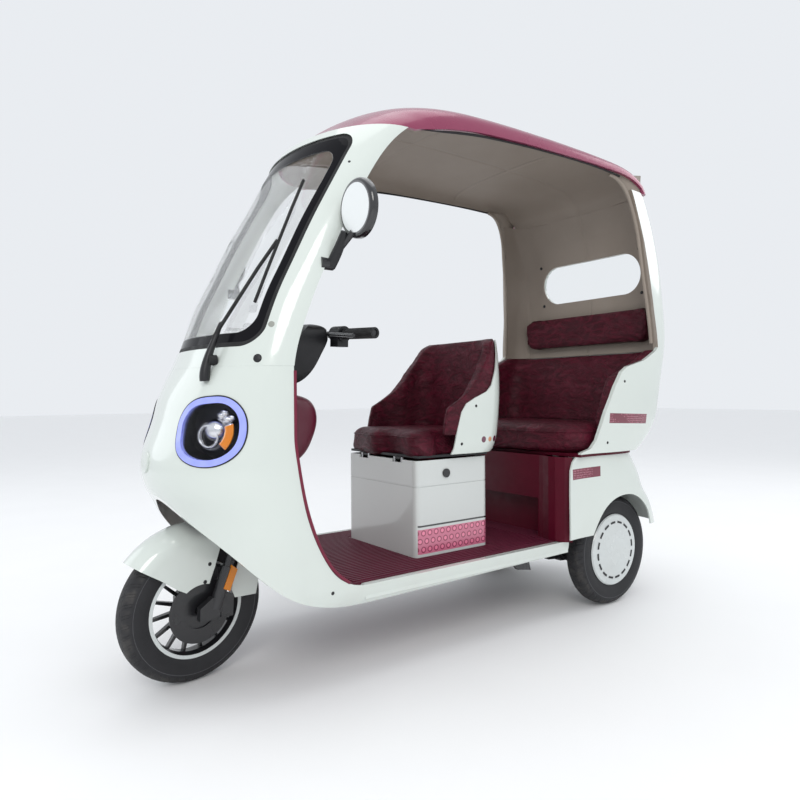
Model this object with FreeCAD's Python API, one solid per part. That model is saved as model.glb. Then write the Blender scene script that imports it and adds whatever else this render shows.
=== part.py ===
import FreeCAD, Part
import math
import os

V = FreeCAD.Vector

# An electric three-wheeler with a canopy, in millimetres: X to its left, Y to its rear, Z up.
# Side-view places are read back from a mark 15 ahead of the front axle, from the front of the
# seat box or from the rear axle; MIDDLE is half way along the vehicle.
MIDDLE = 849.0
FRONT_AXLE = 15.0
WHEELBASE = 1541.0
REAR_AXLE = FRONT_AXLE + WHEELBASE

# Wheels
FRONT_R = 213.0
FRONT_HALF = 38.0
FRONT_WALL = 67.0
FRONT_RIM = FRONT_R - FRONT_WALL
REAR_R = 213.0
REAR_HALF = 38.0
REAR_WALL = 71.0
REAR_RIM = REAR_R - REAR_WALL
REAR_TRACK_HALF = 308.0

# Steering axis: a point of it in the side view, its rake and how far it stands turned at rest
AXIS_Y = 50.0
AXIS_Z = 230.0
RAKE = 19.0
REST_STEER = 8.0
STEER_LIMIT = 34.0

# Floor and driver's seat
FLOOR_TOP = 285.0
FLANK = 340.0
PANEL = 6.0
BOX_HALF = 208.0
BOX_DEPTH = 323.0
PASSENGER_ROOM = 548.0
BOX_FRONT = REAR_AXLE - PASSENGER_ROOM - BOX_DEPTH
BOX_REAR = BOX_FRONT + BOX_DEPTH
BOX_TOP = 604.0
SEAT_HINGE_Y = BOX_FRONT + 9.0
SEAT_HINGE_Z = BOX_TOP + 3.0
SEAT_TILT = 32.0

# Windscreen opening, rear window and seam heights
SEAM_Z = 900.0
SILL_TOP = 283.0
SILL_END = REAR_AXLE - 266.0
FLOOR_END = REAR_AXLE - 226.0
GLASS_LOW = 953.0
GLASS_HIGH = 1588.0
GLASS_HALF = 297.0
SCREEN_TOP = 1612.0
REAR_TOP = 1628.0
WINDOW_HALF = 267.0
WINDOW_LOW = 1255.0
WINDOW_HIGH = 1430.0
DECK_Z = 592.0
SHELL_LOW = 603.0
SHELL_T = 14.0
PLATE_Y = 302.0
PLATE_BOLTS = 190.0
PLATE_BOLT_Z = 425.0
PLATE_BOLT_R = 3.3

# Front body: height, tip, side line and half width
FRONT = (
    (226.0, -35.0, 176.0, 324.0),
    (240.0, -36.0, 176.0, 332.0),
    (258.0, -37.0, 176.0, 337.0),
    (290.0, -39.0, 176.0, FLANK),
    (400.0, -48.0, 176.0, FLANK),
    (455.0, -56.0, 176.0, FLANK),
    (509.0, -72.0, 176.0, FLANK),
    (550.0, -95.0, 176.0, FLANK),
    (595.0, -110.0, 176.0, FLANK),
    (650.0, -109.0, 176.0, FLANK),
    (700.0, -93.0, 176.0, FLANK),
    (745.0, -76.0, 176.0, FLANK),
    (820.0, -54.0, 176.0, FLANK),
    (872.0, -30.0, 176.0, FLANK),
    (900.0, -15.0, 178.0, FLANK),
    (953.0, 10.0, 188.0, FLANK),
    (1093.0, 62.0, 238.0, FLANK),
    (1189.0, 112.0, 281.0, FLANK),
    (1319.0, 177.0, 346.0, FLANK),
    (1457.0, 258.0, 422.0, 342.0),
    (1540.0, 301.0, 478.0, 345.0),
    (1586.0, 328.0, 526.0, 348.0),
    (1612.0, 345.0, 556.0, 350.0),
    (1660.0, 380.0, 612.0, 353.0),
)
# Rear body above the deck: height, half width, rear face behind the rear axle, corner radius
REAR = (
    (560.0, 400.0, 113.0, 120.0),
    (603.0, 406.0, 143.0, 120.0),
    (623.0, 409.0, 166.0, 120.0),
    (650.0, 412.0, 202.0, 120.0),
    (697.0, 418.0, 248.0, 120.0),
    (782.0, 426.0, 264.0, 120.0),
    (876.0, 428.0, 282.0, 120.0),
    (1046.0, 420.0, 328, 120.0),
    (1163.0, 407.0, 339, 120.0),
    (1300.0, 396.0, 334, 120.0),
    (1431.0, 383.0, 318, 118.0),
    (1530.0, 371.0, 294, 112.0),
    (1601.0, 361.0, 270, 105.0),
    (1628.0, 357.0, 258, 100.0),
    (1670.0, 350.0, 238, 95.0),
)
# Rear body below the deck: height, half width, rear face behind the rear axle, corner radius
TAIL = (
    (280.0, 392.0, 290, 110.0),
    (300.0, 392.0, 287, 110.0),
    (388.0, 389.0, 255, 110.0),
    (448.0, 386.0, 210, 110.0),
    (509.0, 383.0, 184, 110.0),
    (566.0, 381.0, 146, 110.0),
    (600.0, 380.0, 118, 110.0),
)
# Roof: station, crown line y and z, lip line y and z, half width; y from the mark up to station 4,
# then from the rear axle
ROOF = (
    (0.0, 332.0, 1596.0, 536.0, 1590.0, 349.0),
    (1.0, 392.0, 1640.0, 580.0, 1612.0, 351.0),
    (2.0, 446.0, 1680.0, 640.0, 1626.0, 353.0),
    (3.0, 536.0, 1722.0, 716.0, 1642.0, 356.0),
    (4.0, 680.0, 1750.0, 840.0, 1660.0, 358.0),
    (5.0, -656.0, 1761.0, -526.0, 1672.0, 359.0),
    (6.0, -396.0, 1763.0, -316.0, 1679.0, 359.0),
    (7.0, -136.0, 1758.0, -116.0, 1682.0, 359.0),
    (8.0, 34.0, 1748.0, 34.0, 1680.0, 359.0),
    (9.0, 154.0, 1725.0, 124.0, 1667.0, 358.0),
    (10.0, 231.0, 1684.0, 182.0, 1640.0, 357.0),
    (11.0, 269.0, 1604.0, 216.0, 1594.0, 356.0),
)
DOOR_EDGE = ((176, 700), (181, 662), (194, 580), (210, 507), (239, 426), (268, 370), (304, 322), (359, 290))
ARCH_LINE = ((125, 313), (176, 278), (249, 248), (309, 234), (404, 227), (518, 228))
# Rear arch, post and wing edges, read from the rear axle
REAR_ARCH = ((-204, 250), (-185, 297), (-154, 345), (-115, 388), (-60, 421), (-12, 432),
             (34, 432), (84, 420), (124, 396), (159, 356), (174, 305), (180, 250))


def at(x, y, z):
    """Point with y read back from the front mark."""
    return V(x, y - MIDDLE, z)


def smooth(rows, column, s):
    """Column of a table at s, its first column, by a monotone cubic."""
    xs = [r[0] for r in rows]
    ys = [r[column] for r in rows]
    s = min(max(s, xs[0]), xs[-1])
    slope = [(ys[i + 1] - ys[i]) / (xs[i + 1] - xs[i]) for i in range(len(xs) - 1)]
    m = [slope[0]]
    for a, b in zip(slope, slope[1:]):
        m.append(0.0 if a * b <= 0 else 2 * a * b / (a + b))
    m.append(slope[-1])
    i = max(k for k in range(len(xs) - 1) if xs[k] <= s)
    h = xs[i + 1] - xs[i]
    t = (s - xs[i]) / h
    return (ys[i] * (1 + 2 * t) * (1 - t) ** 2 + ys[i + 1] * t * t * (3 - 2 * t)
            + h * (m[i] * t * (1 - t) ** 2 - m[i + 1] * t * t * (1 - t)))


def spread(lo, hi, n):
    """n + 1 even steps from lo to hi."""
    return [lo + (hi - lo) * i / n for i in range(n + 1)]


def offset_grid(rule, us, vs, depth, core):
    """Rows of points of rule(u, v), moved by depth toward the side where core(point) lies."""
    rows = []
    for u in us:
        row = []
        for v in vs:
            p = rule(u, v)
            if depth:
                eu = (us[-1] - us[0]) * 1e-4
                ev = (vs[-1] - vs[0]) * 1e-4
                ua, ub = max(u - eu, us[0]), min(u + eu, us[-1])
                va, vb = max(v - ev, vs[0]), min(v + ev, vs[-1])
                n = (rule(ub, v) - rule(ua, v)).cross(rule(u, vb) - rule(u, va))
                n.normalize()
                if n.dot(core(p) - p) < 0:
                    n = n * -1
                p = p + n * depth
            row.append(p)
        rows.append(row)
    return rows


def steps_of(rows):
    """Chord parameters from 0 to 1 along the first index of a grid, the mean of its columns."""
    total = [0.0] * len(rows)
    for j in range(len(rows[0])):
        run = [0.0]
        for a, b in zip(rows, rows[1:]):
            run.append(run[-1] + (b[j] - a[j]).Length)
        if run[-1] > 0:
            total = [t + r / run[-1] for t, r in zip(total, run)]
    return [t / total[-1] for t in total]


def fit(rows):
    """Cubic surface through a grid of points, one row to each u."""
    pu = steps_of(rows)
    pv = steps_of([list(c) for c in zip(*rows)])
    half = []
    for j in range(len(pv)):
        cu = Part.BSplineCurve()
        cu.interpolate(Points=[r[j] for r in rows], Parameters=pu)
        half.append(cu.getPoles())
    poles = []
    for k in range(len(half[0])):
        cv = Part.BSplineCurve()
        cv.interpolate(Points=[h[k] for h in half], Parameters=pv)
        poles.append(cv.getPoles())
    s = Part.BSplineSurface()
    s.buildFromPolesMultsKnots(poles, cu.getMultiplicities(), cv.getMultiplicities(), cu.getKnots(), cv.getKnots(),
                               False, False, cu.Degree, cv.Degree)
    return s


def skin(rule, us, vs, near, far, core):
    """Solid between two depths under the surface rule(u, v)."""
    return between(*(offset_grid(rule, us, vs, depth, core) for depth in (near, far)))


def between(near_rows, far_rows):
    """Solid between the surfaces through two grids of points."""
    a, b = fit(near_rows), fit(far_rows)
    faces = [a.toShape(), b.toShape()]
    au, bu = a.bounds(), b.bounds()
    for k in (0, 1):
        faces.append(Part.makeRuledSurface(a.uIso(au[k]).toShape(), b.uIso(bu[k]).toShape()))
    for k in (2, 3):
        faces.append(Part.makeRuledSurface(a.vIso(au[k]).toShape(), b.vIso(bu[k]).toShape()))
    shell = Part.makeShell(faces)
    shell.sewShape()
    solid = Part.makeSolid(shell)
    if solid.Volume < 0:
        solid.reverse()
    return solid


def outline(points, smooth_run=None):
    """Closed wire through points; smooth_run is the count of leading points joined by one spline."""
    edges = []
    start = 0
    if smooth_run:
        c = Part.BSplineCurve()
        c.interpolate(points[:smooth_run])
        edges.append(c.toShape())
        start = smooth_run - 1
    loop = points[start:] + [points[0]]
    for a, b in zip(loop, loop[1:]):
        edges.append(Part.makeLine(a, b))
    return Part.Wire(edges)


def side_prism(pairs, x0, x1, smooth_run=None, base=(0.0, 0.0)):
    """Prism along X over a side-view outline of (y, z) pairs, read from base."""
    w = outline([at(x0, y + base[0], z + base[1]) for y, z in pairs], smooth_run)
    return Part.Face(w).extrude(V(x1 - x0, 0, 0))


def plan_prism(pairs, z0, z1, smooth_run=None, base=0.0):
    """Prism along Z over a plan outline of (x, y) pairs, y read from base."""
    w = outline([at(x, y + base, z0) for x, y in pairs], smooth_run)
    return Part.Face(w).extrude(V(0, 0, z1 - z0))


def spline_prism(pairs, z0, z1, base):
    """Prism along Z over a closed smooth plan outline of (x, y) pairs, y read from base."""
    c = Part.BSplineCurve()
    c.interpolate([at(x, y + base, z0) for x, y in pairs], PeriodicFlag=True)
    return Part.Face(Part.Wire([c.toShape()])).extrude(V(0, 0, z1 - z0))


def box(x0, x1, y0, y1, z0, z1, base=0.0):
    return Part.makeBox(x1 - x0, y1 - y0, z1 - z0, at(x0, y0 + base, z0))


def rod(a, b, r, bore=0.0):
    d = b - a
    c = Part.makeCylinder(r, d.Length, a, d)
    if bore:
        c = c.cut(Part.makeCylinder(bore, d.Length, a, d))
    return c


def tube_path(points, r):
    """Round bar through points, with a ball at each bend."""
    shape = rod(points[0], points[1], r)
    for a, b in zip(points[1:], points[2:]):
        shape = shape.fuse([Part.makeSphere(r, a), rod(a, b, r)])
    return shape.removeSplitter()


def rounded_rect(cx, cy, hx, hy, r):
    """Corner-rounded rectangle as edges in the XY plane, counter-clockwise, about (cx, cy)."""
    edges = []
    corners = ((1, -1, -90), (1, 1, 0), (-1, 1, 90), (-1, -1, 180))
    last = None
    first = None
    for sx, sy, a0 in corners:
        c = V(cx + sx * (hx - r), cy + sy * (hy - r), 0)
        a = math.radians(a0)
        b = math.radians(a0 + 90)
        m = (a + b) / 2
        p = [c + V(math.cos(t) * r, math.sin(t) * r, 0) for t in (a, m, b)]
        if last is not None and (p[0] - last).Length > 1e-6:
            edges.append(Part.makeLine(last, p[0]))
        edges.append(Part.Arc(*p).toShape())
        first = first or p[0]
        last = p[2]
    if (first - last).Length > 1e-6:
        edges.append(Part.makeLine(last, first))
    return Part.Wire(edges)


def mirror_x(shape):
    return shape.mirror(V(0, 0, 0), V(1, 0, 0))


def both(shape):
    """The shape and its mirror image as one compound."""
    return Part.makeCompound([shape, mirror_x(shape)])


def turned(profile, axis_point, axis):
    """Solid of revolution of a closed profile wire."""
    return Part.Face(profile).revolve(axis_point, axis, 360)


def steer_point(s, x=0.0, ahead=0.0):
    """Point at s along the steering axis, x to the left, ahead in front of the axis."""
    r = math.radians(RAKE)
    return at(x, AXIS_Y + s * math.sin(r) - ahead * math.cos(r), AXIS_Z + s * math.cos(r) + ahead * math.sin(r))


STEER_DIR = V(0, math.sin(math.radians(RAKE)), math.cos(math.radians(RAKE)))


def turned_bars(shape):
    """Shape of the straight-ahead front end, turned to its parked place."""
    s = shape.copy()
    s.rotate(steer_point(0), STEER_DIR, REST_STEER)
    return s


def front_rule(u, z):
    """Front body surface: u is the angle across, in degrees."""
    tip, side, half = (smooth(FRONT, k, z) for k in (1, 2, 3))
    a = math.radians(u)
    return at(half * math.sin(a), side - (side - tip) * math.cos(a), z)


def horseshoe(u, half, front, back, radius, bow):
    """Plan of a rounded U opening forward: u from 0 at the left front end to 6 at the right."""
    sign = 1.0
    if u > 3.0:
        u, sign = 6.0 - u, -1.0
    if u <= 1.0:
        x, y = half, front + u * (back - radius - front)
    elif u <= 2.0:
        a = (u - 1.0) * math.pi / 2
        x, y = half - radius + radius * math.cos(a), back - radius + radius * math.sin(a)
    else:
        x, y = (half - radius) * (3.0 - u), back
    y -= bow * (x / half) ** 2 * max(0.0, (y - front) / (back - front)) ** 4
    return sign * x, y


def rear_rule(front):
    def rule(u, z):
        half, back, radius = (smooth(REAR, k, z) for k in (1, 2, 3))
        x, y = horseshoe(u, half, front, back, radius, 14.0)
        return at(x, REAR_AXLE + y, z)
    return rule


def tail_rule(u, z):
    half, back, radius = (smooth(TAIL, k, z) for k in (1, 2, 3))
    x, y = horseshoe(u, half, -326, back, radius, 14.0)
    return at(x, REAR_AXLE + y, z)


def roof_point(u, v, inset):
    """Roof surface: u across in degrees, v the station, inset the depth under the outside."""
    rows = [(r[0], r[1] + REAR_AXLE * (r[0] > 4.5), r[2], r[3] + REAR_AXLE * (r[0] > 4.5)) + r[4:] for r in ROOF]
    yc, zc, ye, ze, half = (smooth(rows, k, v) for k in (1, 2, 3, 4, 5))
    run = inset * (max(0.0, 2.0 - v) / 2.0 - max(0.0, v - 9.0) / 2.0)
    yc, ye, zc, half = yc + run, ye + run, zc - inset, half - inset
    a = math.radians(u)
    x = math.copysign(abs(math.sin(a)) ** 0.64, a)
    h = max(0.0, math.cos(a)) ** 0.64
    b = math.sqrt(max(0.0, 1.0 - x * x))
    return at(half * x, ye + (yc - ye) * b, ze + (zc - ze) * h)


U_STEPS = [0, 0.5, 1, 1.25, 1.5, 1.75, 2, 2.5, 3, 3.5, 4, 4.25, 4.5, 4.75, 5, 5.5, 6]
ARC_STEPS = spread(-90, 90, 12)
ROOF_STEPS = [-90, -87, -80, -70, -57, -42, -25, -10, 0, 10, 25, 42, 57, 70, 80, 87, 90]


def inside_front(p):
    return at(0, 400, p.z)


def inside_rear(p):
    return at(0, REAR_AXLE - 306, p.z)


# Front body
def flank_rule(u, z):
    """Front body surface with flanks: past 90 degrees u runs straight back, to the bench at 180."""
    lean = max(-90.0, min(90.0, u))
    return front_rule(lean, z) + V(0, (abs(u) - abs(lean)) / 90.0 * (SILL_END + 20 - 176), 0)


def front_parts():
    parts = {}
    steps = [90, 94, 101, 112, 130, 155, 180]
    us = [-u for u in reversed(steps)] + ARC_STEPS[1:-1] + steps
    zs = [226, 240, 258, 280, 330, 400, 460, 510, 555, 600, 650, 700, 750, 810, 860, 912]
    body = skin(flank_rule, us, zs, 0, PANEL, inside_front)
    body = body.common(box(-400, 400, -300, SILL_END, 200, SEAM_Z))
    door = [(176.5, 960)] + [(176.5, 700)] + list(DOOR_EDGE[1:]) + [(400, SILL_TOP)]
    opening = side_prism(door[1:] + [(SILL_END + 30, SILL_TOP), (SILL_END + 30, 960), (176.5, 960)], -420, 420,
                         len(door) - 1)
    below = [(-92, 547), (-72, 525), (-40, 484), (0, 440), (60, 376)] + list(ARCH_LINE)
    under = side_prism(below + [(SILL_END, 239), (SILL_END + 30, 239), (SILL_END + 30, 100), (-300, 100), (-300, 547)],
                       -420, 420, len(below))
    body = body.cut(opening).cut(under)
    for m in (1, -1):
        body = body.cut(lamp_prism(0.0, m, 160, -40))
    sill = box(314, FLANK - PANEL + 1.5, 400, SILL_END - 1, 241, SILL_TOP - 1)
    body = body.fuse([sill, mirror_x(sill)])
    parts["front_fairing"] = body
    button = skin(flank_rule, us, zs, -5, -0.2, inside_front)
    parts["nose_button"] = button.common(rod(at(0, -400, 639), at(0, 100, 639), 30))

    steps = spread(SEAM_Z - 8, SCREEN_TOP + 10, 10)
    screen = skin(front_rule, ARC_STEPS, steps, 0, 14, inside_front)
    screen = screen.common(box(-400, 400, -300, 900, SEAM_Z + 0.25, SCREEN_TOP))
    opening = screen_prism(0)
    inner = screen_prism(13)
    parts["windscreen_frame"] = screen.cut(opening)
    pane = skin(front_rule, ARC_STEPS, steps, 4, 9, inside_front)
    parts["windscreen_seal"] = pane.common(opening.cut(inner))
    parts["windscreen_glass"] = pane.common(inner)
    return parts


def screen_prism(margin):
    cz = (GLASS_LOW + GLASS_HIGH) / 2
    w = rounded_rect(0, cz, GLASS_HALF - margin, (GLASS_HIGH - GLASS_LOW) / 2 - margin, 55 - margin)
    w.rotate(V(0, 0, 0), V(1, 0, 0), 90)
    w.translate(V(0, -400 - MIDDLE, 0))
    return Part.Face(w).extrude(V(0, 1100, 0))


LAMP_CENTRE = (224.0, -12.0, 730.0)
LAMP_TURN = 33.0


def lamp_prism(margin, side, ahead, behind):
    """Prism of the lamp outline, shrunk by margin, from ahead of the panel to behind it."""
    pts = ((-98, 40), (-60, 78), (0, 90), (60, 84), (96, 52), (106, 8), (94, -44), (52, -80), (0, -90), (-52, -80),
           (-92, -50), (-104, -4))
    ring = []
    for u, v in pts:
        d = math.hypot(u, v)
        k = (d - margin) / d
        ring.append(V(u * k, 0, v * k))
    c = Part.BSplineCurve()
    c.interpolate(ring, PeriodicFlag=True)
    f = Part.Face(Part.Wire([c.toShape()]))
    f.translate(V(0, -ahead, 0))
    s = f.extrude(V(0, ahead - behind, 0))
    s.rotate(V(0, 0, 0), V(0, 0, 1), LAMP_TURN)
    s.translate(at(*LAMP_CENTRE))
    return s if side > 0 else mirror_x(s)


def lamp_parts():
    rings, bowls, lenses, eyes = [], [], [], []
    zs = spread(610, 850, 6)
    wide = skin(front_rule, spread(5, 80, 10), zs, -3, PANEL + 2, inside_front)
    thin = skin(front_rule, spread(5, 80, 10), zs, 0, 3, inside_front)
    ring = wide.common(lamp_prism(0, 1, 160, -40).cut(lamp_prism(17, 1, 160, -40)))
    lens = thin.common(lamp_prism(17, 1, 160, -40))
    r = math.radians(LAMP_TURN)
    back = V(-math.sin(r), math.cos(r), 0)
    c = at(*LAMP_CENTRE)
    deep = lamp_prism(4, 1, 60, -75).cut(lamp_prism(9, 1, 60, -70))
    under = skin(front_rule, spread(5, 80, 10), zs, PANEL + 2, 130, inside_front)
    bowl = deep.common(under)
    eye = rod(c + back * 42, c + back * 70, 34)
    eye = eye.fuse(Part.makeSphere(34, c + back * 42).common(rod(c - back * 20, c + back * 42, 40)))
    for group, s in ((rings, ring), (bowls, bowl), (lenses, lens), (eyes, eye)):
        group.extend([s, mirror_x(s)])
    return {
        "headlamp_rings": Part.makeCompound(rings),
        "headlamp_bowls": Part.makeCompound(bowls),
        "headlamp_lenses": Part.makeCompound(lenses),
        "headlamp_projectors": Part.makeCompound(eyes),
    }


# Roof
def roof_parts():
    stations = spread(0, 11, 22)
    grids = [[[roof_point(u, v, inset) for v in stations] for u in ROOF_STEPS] for inset in (0.0, 12.0, 20.0)]
    cap = between(grids[0], grids[1])
    liner = between(grids[1], grids[2])
    ends = box(-400, 400, 200, 700, 1500, SCREEN_TOP).fuse(box(-400, 400, 44, 400, 1500, REAR_TOP, REAR_AXLE))
    return {"roof_cap": cap.cut(ends), "roof_liner": liner.cut(ends)}


# Rear body
POST_EDGE = ((96, 1640), (108, 1600), (144, 1418), (169, 1190), (177, 1004))
WING_EDGE = ((162, 990), (75, 950), (-33, 923), (-65, 903), (-105, 846), (-152, 753),
             (-190, 650), (-216, 622), (-275, 609), (-275, SHELL_LOW))


def capsule_prism(margin):
    h = (WINDOW_HIGH - WINDOW_LOW) / 2 - margin
    return front_prism_round(WINDOW_HALF - margin, WINDOW_LOW + margin, WINDOW_HIGH - margin, h - 0.5, -56, 560)


def rear_parts():
    rear = (REAR_AXLE, 0.0)
    rule = rear_rule(-294)
    zs = spread(595, 1640, 16)
    room = box(-500, 500, -360, 460, SHELL_LOW, REAR_TOP, REAR_AXLE)
    shell = skin(rule, U_STEPS, zs, 0, SHELL_T, inside_rear).common(room)
    ahead = [(-470, SHELL_LOW), (-470, 1640)]
    shell = shell.cut(side_prism(list(POST_EDGE) + list(WING_EDGE) + ahead, -500, 500, base=rear))
    shell = shell.cut(capsule_prism(0))
    inner = skin(rule, U_STEPS, zs, SHELL_T + 0.3, 22, inside_rear)
    inner = inner.common(box(-500, 500, -360, 460, 998, REAR_TOP, REAR_AXLE))
    inner = inner.cut(side_prism(list(POST_EDGE) + [(177, 980), (-470, 980), (-470, 1640)], -500, 500, base=rear))
    inner = inner.cut(capsule_prism(0))
    pane = skin(rear_rule(-56.0), U_STEPS, spread(1200, 1500, 6), 2, 7, inside_rear).common(capsule_prism(0))
    back = skin(rule, U_STEPS, zs, SHELL_T + 0.3, 58, inside_rear)
    back = back.common(box(-500, 500, -360, 460, 706, 996, REAR_AXLE))
    wing = [(159, 996), (134, 985), (44, 945), (-55, 910), (-95, 888), (-118, 846),
            (-149, 757), (-162, 706)]
    back = back.cut(side_prism(wing + [(-470, 706), (-470, 996)], -500, 500, base=rear))
    side = [(200, -312), (330, -274), (375, -234), (386, -176), (386, 4), (380, 84),
            (345, 156), (290, 190), (150, 199)]
    cushion = spline_prism([(0, -330)] + side + [(0, 201)] + [(-x, y) for x, y in side[::-1]], 605, 700, REAR_AXLE)
    cushion = fillet_up(cushion, 24)
    cushion = cushion.cut(skin(rule, U_STEPS, zs, -90, SHELL_T + 0.5, inside_rear))
    cushion = sorted(cushion.Solids, key=lambda q: -q.Volume)[0]
    head = skin(rule, U_STEPS, zs, 22.3, 74, inside_rear)
    head = head.common(front_prism_round(331, 1031, 1190, 46, 94, 400))
    return {
        "rear_shell": shell,
        "rear_trim_panel": inner,
        "rear_window": pane,
        "rear_seat_back": back,
        "rear_seat_cushion": cushion,
        "rear_headrest": head,
    }


def front_prism_round(half, z0, z1, r, y0, y1, x=0.0):
    """Prism along Y over a corner-rounded rectangle, y read from the rear axle."""
    w = rounded_rect(x, (z0 + z1) / 2, half, (z1 - z0) / 2, r)
    w.rotate(V(0, 0, 0), V(1, 0, 0), 90)
    w.translate(V(0, REAR_AXLE + y0 - MIDDLE, 0))
    return Part.Face(w).extrude(V(0, y1 - y0, 0))


def rounded_prism(cx, cy, hx, hy, corner, z0, z1, edge):
    """Block with rounded corners in plan and rounded long edges."""
    w = rounded_rect(cx, cy - MIDDLE, hx, hy, corner)
    w.translate(V(0, 0, z0))
    return fillet_up(Part.Face(w).extrude(V(0, 0, z1 - z0)), edge)


def fillet_up(shape, r):
    """Round the long edges of the top and bottom faces."""
    zs = (shape.BoundBox.ZMin, shape.BoundBox.ZMax)
    edges = [e for e in shape.Edges if e.BoundBox.ZLength < 0.01 and min(abs(e.BoundBox.ZMin - z) for z in zs) < 0.01]
    try:
        return shape.makeFillet(r, edges)
    except Part.OCCError:
        print("no rounding of radius", r)
        return shape


def tail_parts():
    rear = (REAR_AXLE, 0.0)
    zs = spread(285, 600, 10)
    tail = skin(tail_rule, U_STEPS, zs, 0, PANEL, inside_rear)
    tail = tail.common(box(-500, 500, -360, 460, 300, DECK_Z, REAR_AXLE))
    front = [(-319, 300), (-311, 456), (-303, 546), (-288, 576), (-266, DECK_Z)]
    tail = tail.cut(side_prism(front + [(-470, DECK_Z), (-470, 300)], -500, 500, base=rear))
    tail = tail.cut(side_prism(list(REAR_ARCH), -500, 500, len(REAR_ARCH), rear))
    edge = [horseshoe(u, 392.0, -266, 124, 118.0, 14.0) for u in U_STEPS]
    deck = plan_prism(edge, DECK_Z, SHELL_LOW, len(edge), REAR_AXLE)
    side = [(370, -284), (352, -304), (318, -316), (286, -316), (252, -306), (230, -302)]
    face = side + [(-x, y) for x, y in side[::-1]]
    inner = [(-230, -226), (230, -226), (230, -296), (256, -300), (288, -310), (316, -310),
             (347, -299), (361, -284)]
    base = plan_prism(face + [(-361, -284), (-347, -299), (-316, -310), (-288, -310), (-256, -300),
                              (-230, -296)] + inner, FLOOR_TOP, DECK_Z, base=REAR_AXLE)
    base = base.cut(box(-224, 224, -356, -232, FLOOR_TOP, 430, REAR_AXLE))
    base = base.cut(box(-224, 224, -296, -232, 436, DECK_Z, REAR_AXLE))
    lamps = []
    for s in (-1, 1):
        ends = front_prism_round(46, 478, 548, 14, 94, 400, s * 250)
        lamps.append(skin(tail_rule, U_STEPS, zs, -12, 0, inside_rear).common(ends))
    # upright plate on two arms, with two bolt holes for a number plate
    plate = front_prism_round(112, 326, 450, 8, PLATE_Y - 3, PLATE_Y)
    arms = [box(x - 7, x + 7, 150, PLATE_Y - 2, 352, 424, REAR_AXLE) for x in (-70, 70)]
    wall = skin(tail_rule, [2.2, 2.5, 2.8, 3, 3.2, 3.5, 3.8], zs, -0.2, 150, inside_rear)
    plate = plate.fuse([sorted(a.cut(wall).Solids, key=lambda q: -q.BoundBox.YMax)[0] for a in arms]).removeSplitter()
    for x in (-PLATE_BOLTS / 2, PLATE_BOLTS / 2):
        plate = plate.cut(rod(at(x, REAR_AXLE + 250, PLATE_BOLT_Z), at(x, REAR_AXLE + 350, PLATE_BOLT_Z), PLATE_BOLT_R))
    return {
        "rear_body": tail,
        "rear_deck": deck,
        "bench_base": base,
        "tail_lamps": Part.makeCompound(lamps),
        "plate_holder": plate,
    }


# Driver's seat and its box
def seat_rule(u, z):
    rows = ((600.0, 363, 226.0), (625.0, 381, 234.0), (655.0, 397, 238.0), (760.0, 413, 240.0),
            (830.0, 417, 240.0), (922.0, 418, 236.0), (1000.0, 418, 226.0), (1030.0, 419, 218.0))
    back, half = smooth(rows, 1, z), smooth(rows, 2, z)
    x, y = horseshoe(u, half, 85, back, 105.0, 8.0)
    return at(x, BOX_FRONT + y, z)


def inside_seat(p):
    return at(0, BOX_FRONT + 75, p.z)


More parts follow.
